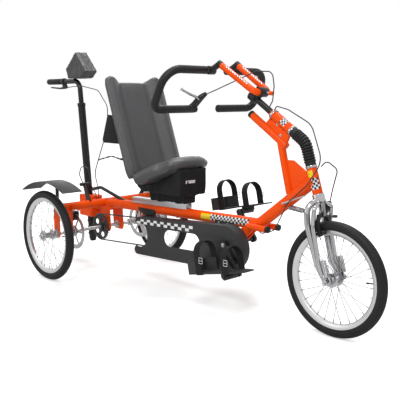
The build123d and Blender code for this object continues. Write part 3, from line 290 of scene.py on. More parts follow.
def round_edges(form, edges, width, segments=2, clamp=False):
    """Bevels edges of a form by a width."""
    bmesh.ops.bevel(
        form,
        geom=edges,
        offset=width,
        segments=segments,
        profile=0.5,
        affect="EDGES",
        clamp_overlap=clamp,
        material=-1,
    )


merge_distance = 0.00002
flat_angle = radians(0.8)
sharp_angle = radians(38)


def break_edges(node, body, material, width=0.0007):
    """A copy of a node's solid with its sharp edges bevelled, in place of the node."""
    form = bmesh.new()
    form.from_mesh(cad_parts[node].data)
    bmesh.ops.remove_doubles(form, verts=form.verts, dist=merge_distance)
    bmesh.ops.dissolve_limit(form, angle_limit=flat_angle, verts=form.verts, edges=form.edges)
    if width:
        sharp = [edge for edge in form.edges if edge.calc_face_angle(0) > sharp_angle]
        round_edges(form, sharp, width, clamp=True)
    piece = place_piece(f"{node}_shell", form, body, [material])
    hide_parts(node)


def dress(rows, material, width=0.0007):
    """Breaks the edges of nodes that are given in rows, each a body and its nodes."""
    for body, *nodes in rows:
        for node in nodes:
            break_edges(node, body, material, width)


orange_paint = make_finish(
    "orange_powder_coat",
    (0.93, 0.086, 0.002),
    (0.84, 0.070, 0.001),
    0.42,
    coat=0.02,
    grains=700,
    depth=0.12,
    marks=0.25,
    specular=0.16,
)
painted_rows = (
    ("frame", "main_tube", "down_tube", "steering_tubes", "mast", "frame_plates", "accessory_tubes"),
    ("frame", "rear_beam", "axle_plates", "clamp_block", "crank_shell"),
)
dress(painted_rows, orange_paint)

# Weld beads where the tubes of the frame meet: small rounded rings of weld metal.
# One bead is laid round each tube, and the coat of paint goes over it.
weld_bead_radius = 0.0022
weld_joints = (
    # name, place in millimetres, direction of the tube, radius
    ("weld_at_head", (1476, 0, 640), (302, 0, 230), 27),
    ("weld_at_knee", (1190, 0, 425), (1.75, 0, 0.62), 27),
    ("weld_at_mast_foot", (1352, 0, 566), (-57, 0, 227), 17),
)
for weld_name, weld_place, weld_run, weld_radius in weld_joints:
    bead = bmesh.new()
    turn_to_run = Vector((0, 0, 1)).rotation_difference(Vector(weld_run)).to_matrix().to_4x4()
    ring_place = Matrix.Translation(station(*weld_place)) @ turn_to_run
    bmesh.ops.create_circle(
        bead,
        segments=8,
        radius=weld_bead_radius,
        matrix=Matrix.Translation((weld_radius / 1000, 0, 0)) @ Matrix.Rotation(pi / 2, 4, "X"),
    )
    bmesh.ops.spin(
        bead,
        geom=bead.verts[:] + bead.edges[:],
        cent=(0, 0, 0),
        axis=(0, 0, 1),
        angle=2 * pi,
        steps=72,
        use_merge=True,
    )
    bmesh.ops.transform(bead, matrix=ring_place, verts=bead.verts)
    add_piece(weld_name, bead, "frame", orange_paint)

# Wheels: an alloy rim with a tyre seated in it, crossed steel spokes with nipples and a turned hub.
# The tyre is moulded rubber with ribs round its tread, and the rim is polished where brake pads would run.
tyre_rubber, tyre_nodes, tyre_links, tyre_surface = new_material("tyre_rubber")
tyre_surface.inputs["Specular IOR Level"].default_value = 0.22
add_marks(tyre_nodes, tyre_links, tyre_surface, (0.011, 0.011, 0.011), (0.022, 0.021, 0.021), 0.52, 0.5)
tyre_map = add_node(tyre_nodes, "ShaderNodeUVMap", uv_map="round_the_tyre")
tread_values = {
    "Scale": 1.0,
    "Brick Width": 1.0,
    "Row Height": 1.0,
    "Mortar Size": 0.12,
    "Color1": white,
    "Color2": white,
    "Mortar": (0, 0, 0, 1),
}
tread_blocks = add_node(tyre_nodes, "ShaderNodeTexBrick", tread_values)
tread_bump = add_node(tyre_nodes, "ShaderNodeBump", {"Strength": 0.7, "Distance": 0.0016})
join_nodes(
    tyre_links,
    (tyre_map, "UV", tread_blocks, "Vector"),
    (tread_blocks, "Color", tread_bump, "Height"),
    (tread_bump, "Normal", tyre_surface, "Normal"),
)
rim_alloy = make_finish(
    "rim_alloy", (0.62, 0.62, 0.63), (0.50, 0.50, 0.51), 0.30, metallic=0.85, grains=1800, depth=0.05
)
spoke_steel = make_finish(
    "spoke_steel", (0.24, 0.24, 0.25), (0.18, 0.18, 0.19), 0.28, metallic=0.9, grains=3000, depth=0.02
)
hub_steel = make_finish(
    "hub_steel", (0.50, 0.50, 0.52), (0.36, 0.36, 0.37), 0.25, metallic=1.0, grains=2200, depth=0.04
)
valve_black = make_finish("valve_black", (0.02, 0.02, 0.02), (0.04, 0.04, 0.04), 0.5)


def spin_profile(profile, centre, steps):
    """Turns a closed profile of (distance from the axle, place along it), in millimetres, round a wheel."""
    form = bmesh.new()
    corners = [form.verts.new(centre + Vector((r / 1000, y / 1000, 0))) for r, y in profile]
    for here, there in zip(corners, corners[1:] + corners[:1]):
        form.edges.new((here, there))
    bmesh.ops.spin(
        form,
        geom=form.verts[:] + form.edges[:],
        cent=centre,
        axis=(0, 1, 0),
        angle=2 * pi,
        steps=steps,
        use_merge=True,
    )
    bmesh.ops.recalc_face_normals(form, faces=form.faces)
    return form


def add_rod(form, start, end, radius, sides, material_index=0):
    """Adds a straight round rod to a form."""
    run = end - start
    turned = Vector((0, 0, 1)).rotation_difference(run).to_matrix().to_4x4()
    middle = Matrix.Translation((start + end) / 2) @ turned
    made = bmesh.ops.create_cone(
        form,
        cap_ends=True,
        segments=sides,
        radius1=radius,
        radius2=radius,
        depth=run.length,
        matrix=middle,
    )
    for vert in made["verts"]:
        for face in vert.link_faces:
            face.material_index = material_index


def add_form(target, source, material_index):
    """Joins one form into another under a material of its own, and frees it."""
    for face in source.faces:
        face.material_index = material_index
    carrier = bpy.data.meshes.new("carrier")
    source.to_mesh(carrier)
    source.free()
    target.from_mesh(carrier)
    bpy.data.meshes.remove(carrier)


wheel_radius = 248
tread_pitch = 9.0
tread_row = 7.5
tyre_side = (
    # distance from the axle and half width, in millimetres, from the bead to the edge of the tread
    *((204, 11.8), (209.5, 12.6), (213, 17.5), (219, 21.8), (226, 23)),
    *((233, 21.6), (239, 18), (243, 13), (246.3, 7)),
)
tyre_profile = list(tyre_side) + [(wheel_radius, 0)] + [(r, -y) for r, y in reversed(tyre_side)]
rim_side = (
    *((204, 12.0), (209.2, 12.4), (210, 13.8), (209.4, 15)),
    *((206, 14.6), (199, 13.0), (192, 10.2), (188, 7.0)),
)
rim_profile = list(rim_side) + [(r, -y) for r, y in reversed(rim_side)]
wheels = (
    # name, body, centre, half length of the hub, radius of its bore
    ("rear_right", "drive_wheel", station(0, -407, 248), 42, 10),
    ("rear_left", "left_wheel", station(0, 407, 248), 42, 10),
    ("front", "front_wheel", station(1607, 0, 248), 34, 6.3),
)
spoke_count = 28
spoke_lean = 0.42
spoke_radius = 0.0011
nipple_radius = 0.0021
hub_circle = 0.027
rim_circle = 0.190
valve_turn = 0.112
valve_way = Vector((cos(valve_turn), 0, sin(valve_turn)))
for wheel_name, wheel_body, centre, hub_half, bore in wheels:
    tyre_form = spin_profile(tyre_profile, centre, 144)
    tyre_uv = tyre_form.loops.layers.uv.new("round_the_tyre")
    for face in tyre_form.faces:
        from_axle = face.calc_center_median() - centre
        face_turn = atan2(from_axle.z, from_axle.x)
        for loop in face.loops:
            spot = loop.vert.co - centre
            turn = atan2(spot.z, spot.x)
            while turn - face_turn > pi:
                turn -= 2 * pi
            while turn - face_turn < -pi:
                turn += 2 * pi
            loop[tyre_uv].uv = (turn * wheel_radius / tread_pitch, spot.y * 1000 / tread_row)
    tyre = place_piece(f"tyre_{wheel_name}_tread", tyre_form, wheel_body, [tyre_rubber], smooth_angle=60)
    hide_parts(f"tyre_{wheel_name}")

    wheel_form = spin_profile(rim_profile, centre, 144)
    flange = hub_half - 12
    hub_side = [
        (bore, hub_half),
        (15, hub_half),
        (17, hub_half - 3),
        (17, flange + 1),
        (27, flange),
        (30, flange - 1),
        (30, flange - 3),
        (19, flange - 5),
    ]
    hub_profile = [(r, -y) for r, y in hub_side] + [(16, 0)] + hub_side[::-1]
    add_form(wheel_form, spin_profile(hub_profile, centre, 64), 2)
    for number in range(spoke_count):
        turn = 2 * pi * number / spoke_count
        side = 1 if number % 2 else -1
        hub_turn = turn + (spoke_lean if number % 4 < 2 else -spoke_lean)
        flange_y = side * (flange - 2) / 1000
        foot = centre + Vector((hub_circle * cos(hub_turn), flange_y, hub_circle * sin(hub_turn)))
        head = centre + Vector((rim_circle * cos(turn), side * 0.002, rim_circle * sin(turn)))
        run = (head - foot).normalized()
        add_rod(wheel_form, foot, head, spoke_radius, 8, 1)
        add_rod(wheel_form, head - run * 0.016, head + run * 0.002, nipple_radius, 8, 1)
    stem_foot = centre + valve_way * 0.188
    cap_foot = centre + valve_way * 0.164
    add_rod(wheel_form, stem_foot, cap_foot, 0.003, 12, 3)
    add_rod(wheel_form, cap_foot, centre + valve_way * 0.154, 0.004, 12, 3)
    wheel_materials = [rim_alloy, spoke_steel, hub_steel, valve_black]
    wheel = place_piece(f"wheel_{wheel_name}_built", wheel_form, wheel_body, wheel_materials)
    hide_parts(f"wheel_{wheel_name}")

# Axles, bearings, discs and the rail under the seat: bright turned and drawn steel.
# They carry no paint, because other pieces turn, rub or slide on them.
bright_steel = make_finish(
    "bright_steel", (0.50, 0.50, 0.51), (0.36, 0.36, 0.37), 0.30, metallic=1.0, grains=2500, depth=0.04
)
steel_rows = (
    ("drive_wheel", "drive_axle"),
    ("left_wheel", "stub_axle"),
    ("frame", "axle_bearings"),
    ("drive_wheel", "disc_right"),
    ("left_wheel", "disc_left"),
    ("frame", "seat_rail"),
)
dress(steel_rows, bright_steel, width=0.0004)

# Black parts of steel and alloy: satin paint that shines a little on its edges.
# The handle, its brace, the levers, the calipers, the cranks and the stem have it.
black_paint = make_finish(
    "black_satin_paint", (0.012, 0.012, 0.013), (0.030, 0.030, 0.031), 0.34, coat=0.05, specular=0.28
)
black_rows = (
    ("frame", "handle_post", "handle_bar", "rear_brake_lever", "parking_lever", "brace_tube"),
    ("frame", "guard_brackets", "brake_calipers"),
    ("cranks", "cranks", "chainring"),
    ("drive_wheel", "sprocket"),
    ("handlebar", "stem", "loop_clamps", "brake_lever"),
    ("fork", "front_brake"),
)
dress(black_rows, black_paint, width=0.0005)

# Chromed fork: two bent legs from the crown, with slimmer tubes and spring units in front of them.
# The damper's rod and the rings that clamp the bellows are bright plated steel too.
chrome_plate = make_finish(
    "chrome_plate",
    (0.46, 0.46, 0.47),
    (0.38, 0.38, 0.39),
    0.10,
    metallic=1.0,
    grains=600,
    depth=0.02,
    marks=0.2,
)
chrome_rows = (("fork", "fork", "fork_struts", "front_axle"), ("frame", "steering_damper", "clamp_rings"))
dress(chrome_rows, chrome_plate, width=0.0004)

# Roller chain: pressed side plates in pairs, pinned through rollers, on a fixed run round two toothed wheels.
# Every link is made whole and laid along the run, an outer pair after an inner pair.
chain_steel = make_finish(
    "oiled_chain_steel", (0.10, 0.095, 0.09), (0.16, 0.15, 0.14), 0.32, metallic=0.9, grains=2500, depth=0.05
)
chain_rear = station(0, -50, 248)
chain_front = station(1062, -50, 322)
chain_run = (chain_front - chain_rear).normalized()
chain_side = Vector((-chain_run.z, 0, chain_run.x))
chain_radius = 0.076
two_links = 0.0254
straight_length = (chain_front - chain_rear).length
loop_length = 2 * straight_length + 2 * pi * chain_radius
link_count = 2 * round(loop_length / two_links)
link_pitch = loop_length / link_count


def chain_place(along):
    """The point of the chain's run at a length along it."""
    along %= loop_length
    if along < straight_length:
        return chain_rear + chain_run * along + chain_side * chain_radius
    along -= straight_length
    if along < pi * chain_radius:
        turn = along / chain_radius
        return chain_front + chain_side * chain_radius * cos(turn) + chain_run * chain_radius * sin(turn)
    along -= pi * chain_radius
    if along < straight_length:
        return chain_front - chain_run * along - chain_side * chain_radius
    turn = (along - straight_length) / chain_radius
    return chain_rear - chain_side * chain_radius * cos(turn) - chain_run * chain_radius * sin(turn)


plate_turns = 6
plate_end_radius = 0.0041
plate_waist = 0.0028
plate_thickness = 0.0008
plate_end_turn = radians(62)
pin_reach = Vector((0, 0.0042, 0))
roller_reach = Vector((0, 0.0021, 0))
chain_form = bmesh.new()
for number in range(link_count):
    here = chain_place(number * link_pitch)
    there = chain_place((number + 1) * link_pitch)
    along_link = (there - here).normalized()
    across_link = Vector((-along_link.z, 0, along_link.x))
    half_gap = 0.0030 if number % 2 else 0.0022
    plate_outline = []
    for centre_point, way in ((there, 1), (here, -1)):
        reach = way * plate_end_radius
        for turn_number in range(plate_turns + 1):
            turn = plate_end_turn * (2 * turn_number / plate_turns - 1)
            out = along_link * cos(turn) + across_link * sin(turn)
            plate_outline.append(centre_point + out * reach)
        plate_outline.append((here + there) / 2 + across_link * way * plate_waist)
    for side in (-1, 1):
        near = Vector((0, side * half_gap, 0))
        far = Vector((0, side * (half_gap + plate_thickness), 0))
        inner_ring = [chain_form.verts.new(point + near) for point in plate_outline]
        outer_ring = [chain_form.verts.new(point + far) for point in plate_outline]
        chain_form.faces.new(inner_ring)
        chain_form.faces.new(outer_ring)
        for first in range(len(plate_outline)):
            second = (first + 1) % len(plate_outline)
            edge_face = (inner_ring[first], inner_ring[second], outer_ring[second], outer_ring[first])
            chain_form.faces.new(edge_face)
    add_rod(chain_form, here - pin_reach, here + pin_reach, 0.0018, 8)
    add_rod(chain_form, here - roller_reach, here + roller_reach, 0.0036, 10)
bmesh.ops.recalc_face_normals(chain_form, faces=chain_form.faces)
chain_piece = place_piece("chain_links", chain_form, "frame", [chain_steel])
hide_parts("chain")

# Teeth of the sprocket and of the chainring: one for each roller, worn blunt at their tips.
# They are cut from the same plate as their wheel and have its paint.
tooth_steps = ((0.0690, 0.0046), (0.0755, 0.0030), (0.0800, 0.0012))
tooth_half_thickness = 0.0010
tooth_count = round(2 * pi * chain_radius / link_pitch)
for wheel_name, wheel_body, wheel_middle in (
    ("sprocket_teeth", "drive_wheel", chain_rear),
    ("chainring_teeth", "cranks", chain_front),
):
    teeth_form = bmesh.new()
    for number in range(tooth_count):
        turn = 2 * pi * number / tooth_count
        out = Vector((cos(turn), 0, sin(turn)))
        along = Vector((-sin(turn), 0, cos(turn)))
        corners = []
        for reach, half_width in tooth_steps:
            for side in (-1, 1):
                for face_y in (-tooth_half_thickness, tooth_half_thickness):
                    place = wheel_middle + out * reach + along * side * half_width
                    corners.append(teeth_form.verts.new(place + Vector((0, face_y, 0))))
        for low in (0, 4):
            a, b, c, d, e, f, g, h = corners[low : low + 8]
            for face in ((a, c, g, e), (b, f, h, d), (a, e, f, b), (c, d, h, g)):
                teeth_form.faces.new(face)
        teeth_form.faces.new((corners[8], corners[10], corners[11], corners[9]))
        teeth_form.faces.new((corners[0], corners[1], corners[3], corners[2]))
    add_piece(wheel_name, teeth_form, wheel_body, black_paint)

# Chain guard, fenders and footplates: moulded charcoal plastic with a fine leather-like texture.
# The mould leaves their edges softly rounded.
guard_plastic = make_finish(
    "charcoal_plastic",
    (0.036, 0.036, 0.038),
    (0.052, 0.052, 0.054),
    0.48,
    grains=1600,
    depth=0.35,
    specular=0.2,
)
plastic_rows = (
    ("frame", "chain_guard", "fenders"),
    ("pedal_right", "footplate_right"),
    ("pedal_left", "footplate_left"),
)
dress(plastic_rows, guard_plastic, width=0.0008)

# Rubber: foam grips, the helper's grip and the caps of the open tubes.
# The grips are drawn over their tubes, and the caps are pushed in.
black_rubber = make_finish(
    "black_rubber", (0.012, 0.012, 0.012), (0.024, 0.024, 0.024), 0.45, grains=2400, depth=0.4, specular=0.25
)
rubber_rows = (("frame", "tube_caps", "handle_grip"), ("handlebar", "loop_grips"))
dress(rubber_rows, black_rubber, width=0.0008)


def bent_route(points, bends, turns=10):
    """Points along straight runs that are joined by arcs, one bend radius for each corner."""
    route = [points[0]]
    for before, corner, after, bend in zip(points, points[1:], points[2:], bends):
        back = (before - corner).normalized()
        ahead = (after - corner).normalized()
        turn = pi - back.angle(ahead)
        centre = corner + (back + ahead).normalized() * bend / cos(turn / 2)
        first_arm = corner + back * bend * tan(turn / 2) - centre
        last_arm = corner + ahead * bend * tan(turn / 2) - centre
        for number in range(turns + 1):
            share = number / turns
            first_part = first_arm * sin((1 - share) * turn) / sin(turn)
            route.append(centre + first_part + last_arm * sin(share * turn) / sin(turn))
    route.append(points[-1])
    return route


def with_directions(places):
    """Pairs each place of a route with the direction between its neighbours."""
    last = len(places) - 1
    stations = []
    for number, place in enumerate(places):
        run = places[min(last, number + 1)] - places[max(0, number - 1)]
        stations.append((place, run.normalized()))
    return stations


def even_route(route, count):
    """The same route as a number of points at even distances, each with its direction."""
    lengths = [0.0]
    for here, there in zip(route, route[1:]):
        lengths.append(lengths[-1] + (there - here).length)
    places = []
    leg = 0
    for number in range(count + 1):
        along = lengths[-1] * number / count
        while leg < len(route) - 2 and lengths[leg + 1] < along:
            leg += 1
        run = route[leg + 1] - route[leg]
        places.append(route[leg] + run * (along - lengths[leg]) / run.length)
    return with_directions(places)


def sweep_round(form, stations, radii, sides):
    """Adds a round skin along stations of a route, with a radius for each, closed at both ends."""
    across = stations[0][1].orthogonal().normalized()
    rings = []
    for (place, direction), radius in zip(stations, radii):
        across = (across - direction * across.dot(direction)).normalized()
        other = direction.cross(across)
        ring = []
        for number in range(sides):
            turn = 2 * pi * number / sides
            ring.append(form.verts.new(place + (across * cos(turn) + other * sin(turn)) * radius))
        rings.append(ring)
    for here, there in zip(rings, rings[1:]):
        for first in range(sides):
            second = (first + 1) % sides
            form.faces.new((here[first], here[second], there[second], there[first]))
    form.faces.new(list(reversed(rings[0])))
    form.faces.new(rings[-1])


# Bellows: a moulded rubber gaiter over the joint of the steering column, with a plain collar at each end.
# Its folds are rounded outside and pinched inside, and its collars reach over the ends of the two tubes.
column_low = station(1376, 0, 852)
column_high = station(1256, 0, 930)
column_axis = (column_high - column_low).normalized()
head_top = station(1471, 0, 718)
head_bottom = station(1511, 0, 599)
head_axis = (head_top - head_bottom).normalized()
bellows_route = bent_route(
    [column_low + column_axis * 0.004, station(1440, 0, 812), head_top - head_axis * 0.004],
    [0.072],
)
bellows_steps = 300
bellows_folds = 13
folds_from = 0.09
folds_span = 0.83
bellows_radii = []
for number in range(bellows_steps + 1):
    share = (number / bellows_steps - folds_from) / folds_span
    if 0 < share < 1:
        bellows_radii.append(0.0206 + 0.0056 * abs(sin(pi * bellows_folds * share)) ** 0.7)
    else:
        bellows_radii.append(0.0228)
bellows_form = bmesh.new()
sweep_round(bellows_form, even_route(bellows_route, bellows_steps), bellows_radii, 48)
bmesh.ops.recalc_face_normals(bellows_form, faces=bellows_form.faces)
bellows_piece = place_piece("bellows_gaiter", bellows_form, "frame", [black_rubber], smooth_angle=70)
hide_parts("bellows")

# Brake cables: steel wire in a black plastic sheath, tied along the frame.
# They keep the routes of their solids.
cable_sheath = make_finish(
    "cable_sheath", (0.008, 0.008, 0.008), (0.02, 0.02, 0.02), 0.38, grains=3000, depth=0.05
)
cable_rows = (("handlebar", "lever_cable"), ("fork", "front_cable"), ("frame", "frame_cables"))
dress(cable_rows, cable_sheath, width=0)

# Handlebar yoke: an orange bent tube clamped to the stem, with black plugs in its open ends.
# It has the same powder coat as the frame.
break_edges("handlebar_yoke", "handlebar", orange_paint)

# Springs: coiled steel wire round the steering damper and round the foot of each front tube of the fork.
# Each is wound with an even pitch between its two seats.
spring_sides = 20
springs = (
    # name, body, start, end, coil radius, wire radius, turns
    ("damper_spring", "frame", (1436, 0, 518.6), (1360, 0, 525.3), 0.0108, 0.0012, 11),
    ("fork_spring_right", "fork", (1591, -60, 334), (1609, -60, 276), 0.0122, 0.0013, 9),
    ("fork_spring_left", "fork", (1591, 60, 334), (1609, 60, 276), 0.0122, 0.0013, 9),
)
for spring_name, spring_body, spring_start, spring_end, coil_radius, wire_radius, spring_turns in springs:
    start = station(*spring_start)
    run = station(*spring_end) - start
    across = run.orthogonal().normalized()
    other = run.normalized().cross(across)
    coil = []
    coil_steps = spring_turns * spring_sides
    for number in range(coil_steps + 1):
        turn = 2 * pi * number / spring_sides
        out = across * cos(turn) + other * sin(turn)
        coil.append(start + run * number / coil_steps + out * coil_radius)
    spring_form = bmesh.new()
    sweep_round(spring_form, even_route(coil, coil_steps * 2), [wire_radius] * (coil_steps * 2 + 1), 8)
    add_piece(spring_name, spring_form, spring_body, chrome_plate, smooth_angle=70)

# Bolts and nuts: zinc-plated hexagon heads at the clamps, brackets and axle ends.
# Each stands on a washer, with the end of its thread just above the head.
bolt_steel = make_finish(
    "zinc_plated_bolts", (0.52, 0.52, 0.53), (0.38, 0.38, 0.38), 0.32, metallic=1.0, depth=0.03
)
washer_share = 0.00145
thread_share = 0.0006
right, left = -1, 1
bolts = (
    # body, sides it is on, foot in millimetres, 1 where it stands outward and -1 inward, radius, height
    ("fork", (right, left), (1607, 70, 248), 1, 8.5, 8),
    ("fork", (right,), (1530, 8, 520), 1, 5, 5),
    ("drive_wheel", (right,), (0, 445, 248), 1, 9.5, 8.2),
    ("left_wheel", (left,), (0, 445, 248), 1, 9.5, 8.2),
    ("cranks", (right, left), (1062, 109, 322), 1, 7, 5),
    ("handlebar", (right, left), (1193, 24, 1022), 1, 7, 5),
    ("handlebar", (right, left), (930, 42, 1124), -1, 7, 5),
    ("frame", (right,), (1290, 6, 884), 1, 4.5, 4),
    ("frame", (right,), (1310, 6, 836), 1, 4.5, 4),
    ("frame", (right,), (1086, 20, 330), 1, 5, 4),
    ("frame", (right,), (960, 35.5, 403), -1, 5, 4),
    ("frame", (right,), (1020, 35.5, 403), -1, 5, 4),
    ("frame", (right, left), (-10, 251, 336), -1, 4.5, 4),
    ("frame", (right, left), (-22, 348, 372), 1, 4.5, 4),
    ("frame", (right, left), (6, 348, 372), 1, 4.5, 4),
)
for bolt_body in ("frame", "fork", "handlebar", "cranks", "drive_wheel", "left_wheel"):
    bolt_form = bmesh.new()
    for body, sides, (x, y, z), way, radius, height in bolts:
        if body != bolt_body:
            continue
        for side in sides:
            foot = station(x, side * y, z)
            up = Vector((0, side * way, 0)) / 1000
            head = foot + up * height
            add_rod(bolt_form, foot - up * 0.4, foot + up * 1.2, radius * washer_share, 24)
            add_rod(bolt_form, foot + up * 1.2, head, radius / 1000, 6)
            add_rod(bolt_form, head, head + up * 1.6, radius * thread_share, 16)
    add_piece(f"bolts_{bolt_body}", bolt_form, bolt_body, bolt_steel)

# Small turned parts: sleeves beside the loop grips, plugs of the yoke, collars on the handle post
# and the knob on the stem. Their corners are broken on the lathe.
turned_parts = (
    # name, body, start, end, radius, material
    ("sleeve_right", "handlebar", (930, -91.5, 1124), (930, -78.5, 1124), 12.2, chrome_plate),
    ("sleeve_left", "handlebar", (930, 91.5, 1124), (930, 78.5, 1124), 12.2, chrome_plate),
    ("yoke_plug_right", "handlebar", (998, -58.4, 1142.9), (979, -59.4, 1154.7), 16, black_rubber),
    ("yoke_plug_left", "handlebar", (998, 58.4, 1142.9), (979, 59.4, 1154.7), 16, black_rubber),
    ("knob_stud", "handlebar", (1210, 8, 1020), (1232, 9, 1018), 4.5, bolt_steel),
    ("knob", "handlebar", (1230, 9, 1018), (1248, 10, 1016.5), 9.5, orange_paint),
    ("post_collar_low", "frame", (-165.4, 0, 172), (-166.8, 0, 186), 25.5, black_paint),
    ("post_collar_middle", "frame", (-169.2, 0, 208), (-170.6, 0, 222), 25.5, black_paint),
    ("post_collar_high", "frame", (-173.4, 0, 248), (-174.8, 0, 262), 25.5, black_paint),
)
for name, body, start, end, radius, material in turned_parts:
    part_form = bmesh.new()
    add_rod(part_form, station(*start), station(*end), radius / 1000, 40)
    rims = [edge for edge in part_form.edges if edge.calc_face_angle(0) > radians(60)]
    round_edges(part_form, rims, 0.0012)
    add_piece(name, part_form, body, material)

# Brake lever: a cast black body on the loop's end and a polished blade with a ball at its tip.
# The blade turns on a pin in the body, and both are rounded where fingers meet them.
lever_parts = (
    # name, stations in millimetres, each with its radius, material, slot
    (
        "lever_casting",
        (
            (838, -106, 956, 10.5),
            (846, -92, 968, 12),
            (858, -78, 986, 14.5),
            (868, -66, 1000, 14),
            (880, -54, 1012, 12),
            (886, -46, 1018, 8.5),
        ),
        black_paint,
        "black_paint",
    ),
    (
        "lever_blade",
        (
            (866, -80, 990, 7.5),
            (874, -108, 1004, 6.8),
            (880, -136, 1011, 5.8),
            (880, -164, 1021, 5.6),
            (880, -192, 1033, 5.4),
            (880, -200, 1036, 7.8),
        ),
        chrome_plate,
        "chrome_plate",
    ),
)
for name, points, material, slot in lever_parts:
    lever_form = bmesh.new()
    lever_stations = with_directions([station(x, y, z) for x, y, z, radius in points])
    sweep_round(lever_form, lever_stations, [point[3] / 1000 for point in points], 20)
    add_piece(name, lever_form, "handlebar", material, smooth_angle=70)

# Stickers: printed film with black and white squares or plain yellow.
# They are laid on the tubes and on the chain guard, a hair above the paint.
film_lift = 0.0002
uv_lift = 0.0001


def make_film(name, first, second):
    """Printed film whose squares follow the piece's own map."""
    material, nodes, links, surface = new_material(name)
    surface.inputs["Roughness"].default_value = 0.32
    squares_map = add_node(nodes, "ShaderNodeUVMap", uv_map="squares")
    colours = {"Scale": 1.0, "Color1": (*first, 1), "Color2": (*second, 1)}
    squares = add_node(nodes, "ShaderNodeTexChecker", colours)
    join_nodes(links, (squares_map, "UV", squares, "Vector"), (squares, "Color", surface, "Base Color"))
    return material


black_white_film = make_film("black_white_film", (0.010, 0.010, 0.010), (0.80, 0.80, 0.80))
yellow_film = make_film("yellow_film", (0.88, 0.60, 0.005), (0.90, 0.64, 0.01))


def wrap_film(name, body, start, end, radius, middle, span, squares, material):
    """Film on a tube: middle and span are turns from the rider's right towards the top, in degrees."""
    start_point = station(*start)
    run = station(*end) - start_point
    axis = run.normalized()
    rightward = Vector((0, -1, 0))
    rightward = (rightward - axis * rightward.dot(axis)).normalized()
    top = rightward.cross(axis)
    if top.z < 0 or (abs(top.z) < 0.2 and top.x > 0):
        top = -top
    form = bmesh.new()
    uv = form.loops.layers.uv.new("squares")
    steps_along = 4 * squares[0]
    steps_round = 20
    grid = []
    for along in range(steps_along + 1):
        row = []
        for around in range(steps_round + 1):
            turn = radians(middle - span / 2 + span * around / steps_round)
            out = rightward * cos(turn) + top * sin(turn)
            place = start_point + run * along / steps_along + out * (radius / 1000 + film_lift)
            row.append(form.verts.new(place))
        grid.append(row)
    for along in range(steps_along):
        for around in range(steps_round):
            corners = ((along, around), (along + 1, around), (along + 1, around + 1), (along, around + 1))
            face = form.faces.new([grid[a][b] for a, b in corners])
            middle_out = face.calc_center_median() - start_point
            middle_out -= axis * middle_out.dot(axis)
            face.normal_update()
            for loop, (a, b) in zip(face.loops, corners):
                loop[uv].uv = (squares[0] * a / steps_along + uv_lift, squares[1] * b / steps_round + uv_lift)
            if face.normal.dot(middle_out) < 0:
                face.normal_flip()
    place_piece(name, form, body, [material])


def flat_film(name, body, corners, squares, material):
    """Film on a flat face, given by its four corners in millimetres, in order round it."""
    form = bmesh.new()
    uv = form.loops.layers.uv.new("squares")
    face = form.faces.new([form.verts.new(station(*corner)) for corner in corners])
    for loop, spot in zip(face.loops, ((0, 0), (squares[0], 0), squares, (0, squares[1]))):
        loop[uv].uv = (spot[0] + uv_lift, spot[1] + uv_lift)
    place_piece(name, form, body, [material])


wrapped_films = (
    # name, body, start, end, tube radius, middle, span, squares along and round, material
    ("film_main_tube", "frame", (893, 0, 416.3), (1146, 0, 423.7), 27, 12, 66, (22, 3), black_white_film),
    ("film_main_tube_yellow", "frame", (826, 0, 414.3), (892, 0, 416.2), 27, 12, 64, (6, 1), yellow_film),
    ("film_head", "frame", (1504.7, 0, 617.6), (1489.3, 0, 663.6), 22, -12, 190, (5, 8), black_white_film),
    ("film_head_yellow", "frame", (1487.6, 0, 668.6), (1478.4, 0, 696), 22, -20, 110, (3, 1), yellow_film),
    ("film_column", "frame", (1338, 0, 876.7), (1312, 0, 893.6), 21, 45, 100, (4, 5), black_white_film),
    *(
        (name, "handlebar", (1150, y, 1048.7), (1020, end_y, 1129.3), 15, turn, 34, (20, 2), black_white_film)
        for name, y, end_y, turn in (
            ("film_yoke_right", -49.4, -56.9, 60),
            ("film_yoke_left", 49.4, 56.9, 66),
        )
    ),
)
for film in wrapped_films:
    wrap_film(*film)
guard_face_y = -88.25
flat_film(
    "film_guard",
    "frame",
    ((394, guard_face_y, 329), (833, guard_face_y, 345), (833, guard_face_y, 375), (394, guard_face_y, 354)),
    (16, 2),
    black_white_film,
)
label_film = make_film("white_label", (0.80, 0.80, 0.79), (0.80, 0.80, 0.79))

# Buckles: pressed steel frames on the foot straps, at the rider's outer side of each foot.
# The webbing runs over the middle bar of each.
buckle_bars = (
    ((-11, 0, -13), (11, 0, -13)),
    ((-11, 0, 13), (11, 0, 13)),
    ((-11, 0, -13), (-11, 0, 13)),
    ((11, 0, -13), (11, 0, 13)),
    ((-11, 0, 0), (11, 0, 0)),
)
buckle_places = (
    # body, middle of the buckle in millimetres
    ("pedal_right", (1034, -225.2, 262)),
    ("pedal_right", (1191, -225.2, 280)),
    ("pedal_left", (846.4, 225.2, 501)),
    ("pedal_left", (1003.4, 225.2, 519)),
)
for number, (buckle_body, middle) in enumerate(buckle_places):
    buckle_form = bmesh.new()
    centre = station(*middle)
    for bar_start, bar_end in buckle_bars:
        start = centre + Vector(bar_start) / 1000
        add_rod(buckle_form, start, centre + Vector(bar_end) / 1000, 0.0016, 8)
    add_piece(f"buckle_{number}", buckle_form, buckle_body, chrome_plate)

